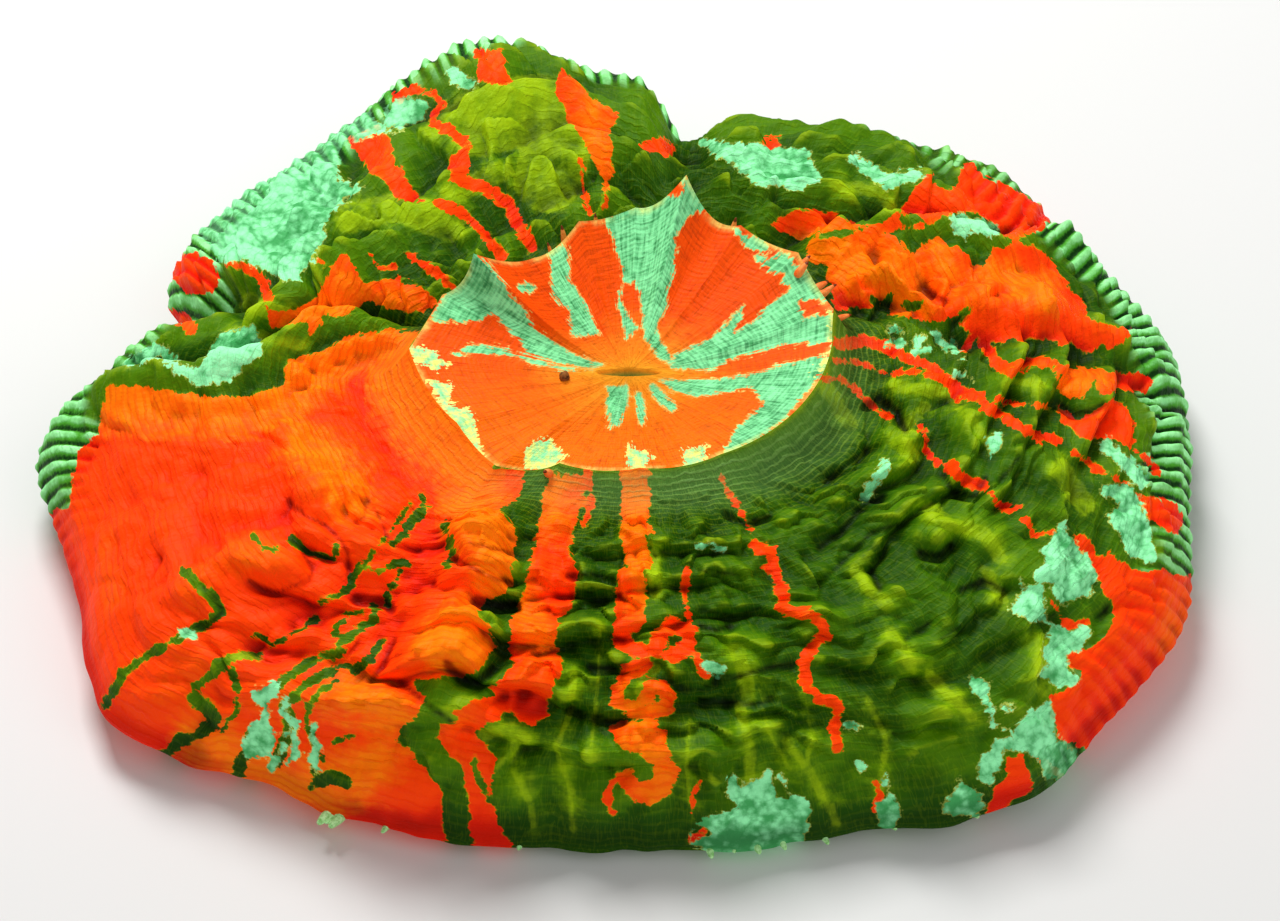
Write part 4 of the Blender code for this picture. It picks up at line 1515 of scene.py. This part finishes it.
@dataclass
class Studio:
    """A plain pale floor with soft light from above."""

    floor_size: float = 6.0
    floor_colour: Colour = srgb(226, 226, 224)
    sky: float = 0.34
    key_power: float = 2.7
    key_size: float = 0.2
    key_place: tuple[float, float, float] = (-0.1, 0.26, 0.44)
    fill_power: float = 0.75
    fill_size: float = 0.5
    fill_place: tuple[float, float, float] = (0.35, -0.35, 0.4)

    def build(self) -> None:
        """Makes the floor, the lights and the world."""
        plane = bmesh.new()
        bmesh.ops.create_grid(plane, x_segments=1, y_segments=1, size=self.floor_size / 2)
        mesh = bpy.data.meshes.new("floor")
        plane.to_mesh(mesh)
        plane.free()
        floor = bpy.data.objects.new("floor", mesh)
        bpy.context.scene.collection.objects.link(floor)
        material = bpy.data.materials.new("pale_floor")
        material.use_nodes = True
        shader = material.node_tree.nodes["Principled BSDF"]
        shader.inputs["Base Color"].default_value = (*self.floor_colour, 1.0)
        shader.inputs["Roughness"].default_value = 0.8
        mesh.materials.append(material)
        world = bpy.data.worlds.new("studio")
        world.use_nodes = True
        background = world.node_tree.nodes["Background"]
        background.inputs["Color"].default_value = (1.0, 1.0, 1.0, 1.0)
        background.inputs["Strength"].default_value = self.sky
        bpy.context.scene.world = world
        self.lamp("key", self.key_power, self.key_size, self.key_place)
        self.lamp("fill", self.fill_power, self.fill_size, self.fill_place)
        bpy.context.scene.view_settings.view_transform = "Standard"

    def lamp(self, name: str, power: float, size: float, place: tuple[float, float, float]) -> None:
        """Adds a square soft light that faces the polyp.

        Args:
            name: The light's name.
            power: Its power in watts.
            size: Length of its side in metres.
            place: Where it hangs, in metres.
        """
        light = bpy.data.lights.new(name, "AREA")
        light.energy = power
        light.size = size
        lamp = bpy.data.objects.new(name, light)
        lamp.location = place
        lamp.rotation_euler = (-Vector(place)).to_track_quat("-Z", "Y").to_euler()
        bpy.context.scene.collection.objects.link(lamp)


def lit_piece(name: str, shape: bmesh.types.BMesh, material: bpy.types.Material) -> bpy.types.Object:
    """Makes a smooth piece of the coral from a shape in metres, and gives it to the frame.

    Args:
        name: The piece's name.
        shape: Its shape, which is freed.
        material: Its finish.

    Returns:
        The object.
    """
    mesh = bpy.data.meshes.new(name)
    shape.to_mesh(mesh)
    shape.free()
    mesh.shade_smooth()
    mesh.materials.append(material)
    piece = bpy.data.objects.new(name, mesh)
    bpy.context.scene.collection.objects.link(piece)
    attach(piece, BODY)
    return piece


@dataclass
class RoundSheet:
    """A sheet of rings and meridians, rolled round flat and then laid over the polyp's form."""

    stations: np.ndarray
    meridians: int

    def roll(self) -> bmesh.types.BMesh:
        """Bends a grid round the upright axis, one row of it for each station, and welds its ends.

        Returns:
            The flat round sheet, with its faces up.
        """
        rows = len(self.stations) - 1
        sheet = bmesh.new()
        bmesh.ops.create_grid(sheet, x_segments=self.meridians, y_segments=rows, size=1.0)
        for vertex in sheet.verts:
            turn = (vertex.co.x + 1) / 2 * math.tau
            station = self.stations[round((vertex.co.y + 1) / 2 * rows)]
            vertex.co = (station * math.cos(turn), station * math.sin(turn), 0.0)
        bmesh.ops.remove_doubles(sheet, verts=sheet.verts, dist=1e-5)
        bmesh.ops.reverse_faces(sheet, faces=sheet.faces)
        return sheet

    def grid(self, flat: np.ndarray) -> tuple[np.ndarray, np.ndarray]:
        """Which station and meridian each vertex of the flat sheet is on.

        Args:
            flat: Places of the vertices on the flat sheet.

        Returns:
            The ring number and the meridian number of each vertex.
        """
        away = np.hypot(flat[:, 0], flat[:, 1])
        ring = np.abs(away[:, None] - self.stations[None, :]).argmin(axis=1)
        turn = np.arctan2(flat[:, 1], flat[:, 0]) / math.tau * self.meridians
        return ring, np.rint(turn).astype(int) % self.meridians


def blur(grid: np.ndarray, rings: int, meridians: int) -> np.ndarray:
    """A grid averaged over a window round each of its places.

    Args:
        grid: Numbers by ring and meridian.
        rings: Half the window's height.
        meridians: Half the window's width, which runs on round the polyp.

    Returns:
        The averaged grid.
    """
    wide = np.concatenate([grid[:, -meridians:], grid, grid[:, :meridians]], axis=1)
    tall = np.pad(wide, ((rings, rings), (0, 0)), mode="edge")
    sums = np.pad(tall.cumsum(axis=0).cumsum(axis=1), ((1, 0), (1, 0)))
    high, broad = 2 * rings + 1, 2 * meridians + 1
    total = sums[high:, broad:] - sums[:-high, broad:] - sums[high:, :-broad] + sums[:-high, :-broad]
    return total / (high * broad)


@dataclass
class ReliefMap:
    """The mantle's lobes and creases as the photograph shows them, and where crests and hollows lie."""

    form: PolypForm
    camera: PhotoCamera
    meridians: int = 900
    rings: int = 215
    last_station: float = 2.6
    crease_depth: float = 1.2
    # Heights over the neighbours that count as a full crest in the fine and in the broad relief.
    fine_crest: float = 0.5
    broad_crest: float = 1.2

    def __post_init__(self) -> None:
        """Works out the maps once over the whole mantle."""
        angles = np.arange(self.meridians) * 360.0 / self.meridians
        self.stations = np.linspace(1.0, self.last_station, self.rings)
        around, along = (grid.ravel() for grid in np.meshgrid(angles, self.stations))
        distance, height = self.form.mantle(around, along)
        places = self.form.place(around, distance, height).reshape(self.rings, self.meridians, 3)
        at = self.camera.seen(places, self.form.mouth).reshape(-1, 2)
        carved = self.carve(at) * ramp(along, 1.02, 1.1) * ramp(along, 2.1, 1.9)
        carved = carved.reshape(self.rings, self.meridians)
        carved = blur(carved, 1, 1)
        height = height.reshape(self.rings, self.meridians) + carved
        near = blur(blur(height, 3, 3), 3, 3)
        far = blur(blur(height, 10, 12), 10, 12)
        self.maps = (carved, (height - near) / self.fine_crest, (near - far) / self.broad_crest)

    def carve(self, at: np.ndarray) -> np.ndarray:
        """Height of the soft lobes, less the depth of the creases.

        Args:
            at: Pixels of the photograph, one row each.

        Returns:
            The height added at each pixel.
        """
        rough = smooth_noise(np.column_stack([at / 14.0, np.zeros(len(at))])) * 0.55
        rough += smooth_noise(np.column_stack([at / 6.0, np.ones(len(at))])) * 0.3
        raised = np.zeros(len(at))
        for across, down, half_across, half_down, rise in LOBES:
            gap = ((at[:, 0] - across) / half_across) ** 2 + ((at[:, 1] - down) / half_down) ** 2
            raised = np.maximum(raised, rise * np.clip(1 - gap + rough, 0.0, 1.0) ** 0.65)
        trench = ramp(CREASES.depth(at) * self.camera.pixel_size + rough * 0.25, -0.5, 0.2)
        return raised - self.crease_depth * trench**1.5

    def read(self, angles: np.ndarray, station: np.ndarray) -> list[np.ndarray]:
        """The maps at given places.

        Args:
            angles: Angles round the mouth, in degrees.
            station: Stations on the mantle.

        Returns:
            The height carved, then how far each place stands over its neighbours in the fine and in the
            broad relief, about -1 in hollows and 1 on crests.
        """
        across = np.interp(station, self.stations, np.arange(self.rings))
        row = np.minimum(across.astype(int), self.rings - 2)
        turn = angles % 360.0 / 360.0 * self.meridians
        column = turn.astype(int)
        down, aside = across - row, turn - column
        found = []
        for grid in self.maps:
            first, second = (grid[row + k, column % self.meridians] for k in (0, 1))
            third, fourth = (grid[row + k, (column + 1) % self.meridians] for k in (0, 1))
            left = first * (1 - down) + second * down
            right = third * (1 - down) + fourth * down
            found.append(left * (1 - aside) + right * aside)
        return found


@dataclass
class Flesh:
    """The polyp's skin: the oral disc, the mantle, and the margin with the foot under it."""

    form: PolypForm
    camera: PhotoCamera
    relief: ReliefMap
    disc_meridians: int = 720
    disc_rings: int = 66
    mantle_meridians: int = 820
    mantle_rings: int = 120
    margin_meridians: int = 1344
    seam: float = 1.66
    # How much a marking narrows for each pixel that a place lies behind what the photograph shows.
    hidden_loss: float = 0.3

    def build(self) -> list[bpy.types.Object]:
        """Makes the three sheets of skin.

        Returns:
            The disc, the mantle and the margin.
        """
        mantle_finish = MantleFlesh().make()
        disc = self.sheet(
            "oral_disc", np.linspace(0.0, 1.0, self.disc_rings), self.disc_meridians,
            DiscFlesh().make(), self.disc_surface,
            {"disc_mint": DISC_MINT, "disc_cream": DISC_CREAM}, np.zeros(0),
        )
        coats = {
            "orange": ORANGE, "mint": MINT, "olive": OLIVE, "crease": CREASES, "amber": AMBER, "dark": DARK,
        }
        mantle = self.sheet(
            "mantle", np.linspace(1.0, self.seam, self.mantle_rings), self.mantle_meridians,
            mantle_finish, self.mantle_surface, coats, np.zeros(0),
        )
        # The ribs, the turn to the foot, and the flat foot.
        rings = (np.linspace(self.seam, 2.15, 60), np.linspace(2.2, 2.6, 9), (2.64, 2.8, 3.0))
        margin = self.sheet(
            "margin", np.concatenate(rings), self.margin_meridians, mantle_finish, self.mantle_surface, coats,
            np.linspace(1.0, self.seam, 60, endpoint=False),
        )
        return [disc, mantle, margin]

    def disc_surface(self, angles: np.ndarray, station: np.ndarray) -> tuple[np.ndarray, dict]:
        """The disc's places and the values kept on its vertices.

        Args:
            angles: Angles round the mouth, in degrees.
            station: Stations from 0 to 1.

        Returns:
            The places in millimetres, and the values by name.
        """
        distance, height = self.form.disc(angles, station)
        return self.form.place(angles, distance, height), {"front": -np.sin(np.radians(angles))}

    def mantle_surface(self, angles: np.ndarray, station: np.ndarray) -> tuple[np.ndarray, dict]:
        """The places of the mantle, margin and foot, and the values kept on their vertices.

        Args:
            angles: Angles round the mouth, in degrees.
            station: Stations from 1 to 3.

        Returns:
            The places in millimetres, and the values by name.
        """
        distance, height = self.form.mantle(angles, np.clip(station, 1.0, 2.6))
        carved, fine, broad = self.relief.read(angles, station)
        height = np.where(station >= 2.6, 0.0, np.maximum(height + carved, 0.0))
        foot = ramp(station, 3.0, 2.6)
        rib, band = self.form.rib_pattern(angles, station)
        facing = np.clip(np.cos(np.radians(angles + 55)), 0.0, 1.0)
        collar = ramp(station, 1.0, 1.012) * ramp(station, 1.16, 1.04) * (0.12 + 0.45 * facing)
        values = {"crest": fine, "swell": broad, "bead": rib, "band": band, "collar": collar}
        return self.form.place(angles, distance * foot, height), values

    def sheet(
        self,
        name: str,
        stations: np.ndarray,
        meridians: int,
        material: bpy.types.Material,
        surface: Callable[[np.ndarray, np.ndarray], tuple[np.ndarray, dict]],
        coats: dict[str, Marking],
        inner: np.ndarray,
    ) -> bpy.types.Object:
        """Rolls a sheet, lays it over the form and keeps its markings on its vertices.

        Args:
            name: The piece's name.
            stations: The stations of its rings.
            meridians: How many meridians it has.
            material: Its finish.
            surface: Gives the places and values at angles and stations.
            coats: The markings it carries, by the name that the finish reads.
            inner: Stations that lie inside the sheet and may hide its places from the camera.

        Returns:
            The piece.
        """
        turned = RoundSheet(stations, meridians)
        piece = lit_piece(name, turned.roll(), material)
        mesh = piece.data
        flat = np.zeros(len(mesh.vertices) * 3)
        mesh.vertices.foreach_get("co", flat)
        ring, meridian = turned.grid(flat.reshape(-1, 3))
        angles = np.arange(meridians) * 360.0 / meridians
        around, along = (grid.ravel() for grid in np.meshgrid(angles, stations))
        places, values = surface(around, along)
        before, _ = surface(*(grid.ravel() for grid in np.meshgrid(angles, inner)))
        lines = np.concatenate([before, places]).reshape(-1, meridians, 3)
        seen = self.camera.seen(lines, self.form.mouth)
        hidden = np.linalg.norm(seen - self.camera.pixels(lines, self.form.mouth), axis=2)
        lost = self.hidden_loss * hidden[len(inner):].ravel()
        seen = seen[len(inner):].reshape(-1, 2)
        for coat, marking in coats.items():
            values[coat] = (marking.depth(seen) - lost) * self.camera.pixel_size
        values["station"] = along
        index = ring * meridians + meridian
        mesh.vertices.foreach_set("co", (places[index] * MM).ravel())
        for key, numbers in values.items():
            kept = mesh.attributes.new(key, "FLOAT", "POINT")
            kept.data.foreach_set("value", numbers[index])
        turn = np.radians(around)
        flow = np.stack([np.cos(turn) * 10, np.sin(turn) * 10, along * 10], axis=1)
        mesh.attributes.new("flow", "FLOAT_VECTOR", "POINT").data.foreach_set("vector", flow[index].ravel())
        self.close_poles(mesh)
        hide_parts(NODE)
        return piece

    def close_poles(self, mesh: bpy.types.Mesh) -> None:
        """Merges the vertices that a sheet's middle brings together.

        Args:
            mesh: The sheet's mesh.
        """
        shape = bmesh.new()
        shape.from_mesh(mesh)
        bmesh.ops.remove_doubles(shape, verts=shape.verts, dist=0.001 * MM)
        shape.to_mesh(mesh)
        shape.free()
        mesh.update()


@dataclass
class Tentacles:
    """Short tentacles with brown tips that stand in the crease outside the disc's rim."""

    form: PolypForm
    # Angle, distance out from the rim, length, width, and lean outwards in degrees.
    places: tuple[tuple[float, float, float, float, float], ...] = (
        (38, 1.1, 2.6, 1.1, 40), (33, 1.6, 2.3, 1.1, 66), (28, 1.1, 2.5, 1.0, 48), (23, 1.9, 2.1, 0.9, 72),
        (35, 2.8, 2.2, 1.0, 74), (31, -1.4, 2.2, 1.2, 30), (113, 0.9, 3.4, 1.0, 6), (118, 1.2, 2.8, 0.8, 20),
        (101, 0.9, 3.2, 0.9, 0), (58, 0.9, 3.4, 1.1, 4), (-122, 0.7, 2.0, 1.2, 20),
    )
    root_depth: float = 0.6
    # About how far the margin lies outside the disc's rim.
    rim_to_margin: float = 43.0
    finish: PlainFinish = PlainFinish(
        "tentacle_flesh", srgb(255, 150, 74), srgb(236, 96, 26), 0.8, tip=srgb(110, 44, 14), roughness=0.4
    )

    def build(self) -> bpy.types.Object:
        """Makes all the tentacles as one piece.

        Returns:
            The piece.
        """
        together = bmesh.new()
        tip = together.verts.layers.float.new("tip")
        for angle, out, length, width, lean in self.places:
            self.grow(together, tip, angle, out, length, width, lean)
        return lit_piece("tentacles", together, self.finish.make())

    def grow(
        self,
        shape: bmesh.types.BMesh,
        tip: bmesh.types.BMLayerItem,
        angle: float,
        out: float,
        length: float,
        width: float,
        lean: float,
    ) -> None:
        """Adds one tentacle: a tapered finger with a round tip that bends outwards.

        Args:
            shape: The shape it is added to.
            tip: The layer that keeps how near a vertex is to the tip.
            angle: Where it stands round the mouth, in degrees.
            out: How far outside the disc's rim.
            length: Its length.
            width: Its width at the root.
            lean: How far it leans outwards, in degrees.
        """
        rim_distance, _ = self.form.disc_rim(np.array([float(angle)]))
        station = 1.0 + out / self.rim_to_margin
        _, height = self.form.mantle(np.array([float(angle)]), np.array([station]))
        root = self.form.place(np.array([float(angle)]), rim_distance + out, height - self.root_depth)[0]
        made = bmesh.ops.create_uvsphere(shape, u_segments=14, v_segments=18, radius=1.0)["verts"]
        turn = Matrix.Rotation(math.radians(angle), 4, "Z") @ Matrix.Rotation(math.radians(lean), 4, "Y")
        for vertex in made:
            share = (vertex.co.z + 1) / 2
            vertex[tip] = share
            blunt = max(math.hypot(vertex.co.x, vertex.co.y), 0.02) ** -0.3
            taper = width / 2 * (1.15 - 0.75 * share) * blunt
            bend = 0.25 * length * share * share
            local = Vector((vertex.co.x * taper + bend, vertex.co.y * taper, share * length))
            vertex.co = (Vector(root) + turn @ local) * MM


@dataclass
class EdgeNubs:
    """Small pale nubs of flesh along the lower edge of the mantle."""

    form: PolypForm
    camera: PhotoCamera
    # Pixel of the photograph where each nub stands, and its length.
    places: tuple[tuple[float, float, float], ...] = (
        (520, 843, 1.2), (640, 846, 0.9), (710, 851, 1.3), (733, 848, 1.0), (757, 846, 1.4), (783, 845, 1.0),
        (825, 842, 1.0), (326, 816, 2.0), (332, 819, 1.5), (338, 820, 2.1), (386, 830, 1.1), (891, 824, 1.2),
        (972, 812, 1.4),
    )
    root_depth: float = 1.4
    finish: PlainFinish = PlainFinish("nub_flesh", srgb(196, 246, 176), srgb(120, 186, 96), 0.5)

    def build(self) -> bpy.types.Object:
        """Makes all the nubs as one piece.

        Returns:
            The piece.
        """
        together = bmesh.new()
        angles = np.linspace(-180.0, 0.0, 721)
        around, along = (grid.ravel() for grid in np.meshgrid(angles, np.linspace(1.9, 2.3, 41)))
        distance, height = self.form.mantle(around, along)
        places = self.form.place(around, distance, height)
        pixels = self.camera.pixels(places, self.form.mouth)
        for across, down, length in self.places:
            root = places[np.hypot(pixels[:, 0] - across, pixels[:, 1] - down).argmin()]
            outwards = np.array((root[0] - self.form.mouth[0], root[1] - self.form.mouth[1], 0.0))
            outwards = Vector(outwards / np.linalg.norm(outwards) + np.array((0.0, 0.0, 0.12)))
            made = bmesh.ops.create_uvsphere(together, u_segments=10, v_segments=9, radius=1.0)["verts"]
            turn = outwards.to_track_quat("Z", "Y").to_matrix()
            for vertex in made:
                share = (vertex.co.z + 1) / 2
                above = share * (length * 0.8 + self.root_depth) - self.root_depth
                local = Vector((vertex.co.x, vertex.co.y, above))
                blunt = max(math.hypot(vertex.co.x, vertex.co.y), 0.02) ** -0.4
                local.xy *= (0.2 + 0.27 * length) * (1.0 - 0.4 * share) * blunt
                vertex.co = (Vector(root) + turn @ local) * MM
        return lit_piece("edge_nubs", together, self.finish.make())


@dataclass
class SandGrain:
    """A grain of sand that lies on the disc beside the mouth."""

    form: PolypForm
    angle: float = 184.0
    distance: float = 7.6
    size: float = 1.25
    finish: PlainFinish = PlainFinish("sand_grain", srgb(150, 92, 40), srgb(60, 30, 14), 0.4, roughness=0.7)

    def build(self) -> bpy.types.Object:
        """Makes the grain, sunk a little into the flesh.

        Returns:
            The piece.
        """
        grain = bmesh.new()
        made = bmesh.ops.create_icosphere(grain, subdivisions=3, radius=self.size / 2)["verts"]
        angle = np.array([self.angle])
        rim_distance, _ = self.form.disc_rim(angle)
        slit = self.form.mouth_half_length
        share = (self.distance - slit) / (rim_distance - slit)
        station = self.form.lip_station + (1 - self.form.lip_station) * share
        distance, height = self.form.disc(angle, station)
        root = self.form.place(angle, distance, height + self.size * 0.25)[0]
        rough = smooth_noise(np.array([vertex.co for vertex in made], float) * 2.4 + 5.0) * 0.25
        for vertex, dent in zip(made, rough):
            vertex.co = (Vector(root) + vertex.co * (1.0 + dent)) * MM
        return lit_piece("sand_grain", grain, self.finish.make())


def main() -> None:
    """Builds the coral's looks and the studio, and reports each piece."""
    logging.basicConfig(level=logging.INFO, format="%(message)s")
    log = logging.getLogger("meat_coral")
    form = PolypForm()
    camera = PhotoCamera()
    camera.set_up(form.mouth)
    Studio().build()
    pieces = Flesh(form, camera, ReliefMap(form, camera)).build()
    pieces.append(Tentacles(form).build())
    pieces.append(EdgeNubs(form, camera).build())
    pieces.append(SandGrain(form).build())
    for piece in pieces:
        log.info("%s: %d faces", piece.name, len(piece.data.polygons))


if __name__ == "__main__":
    main()
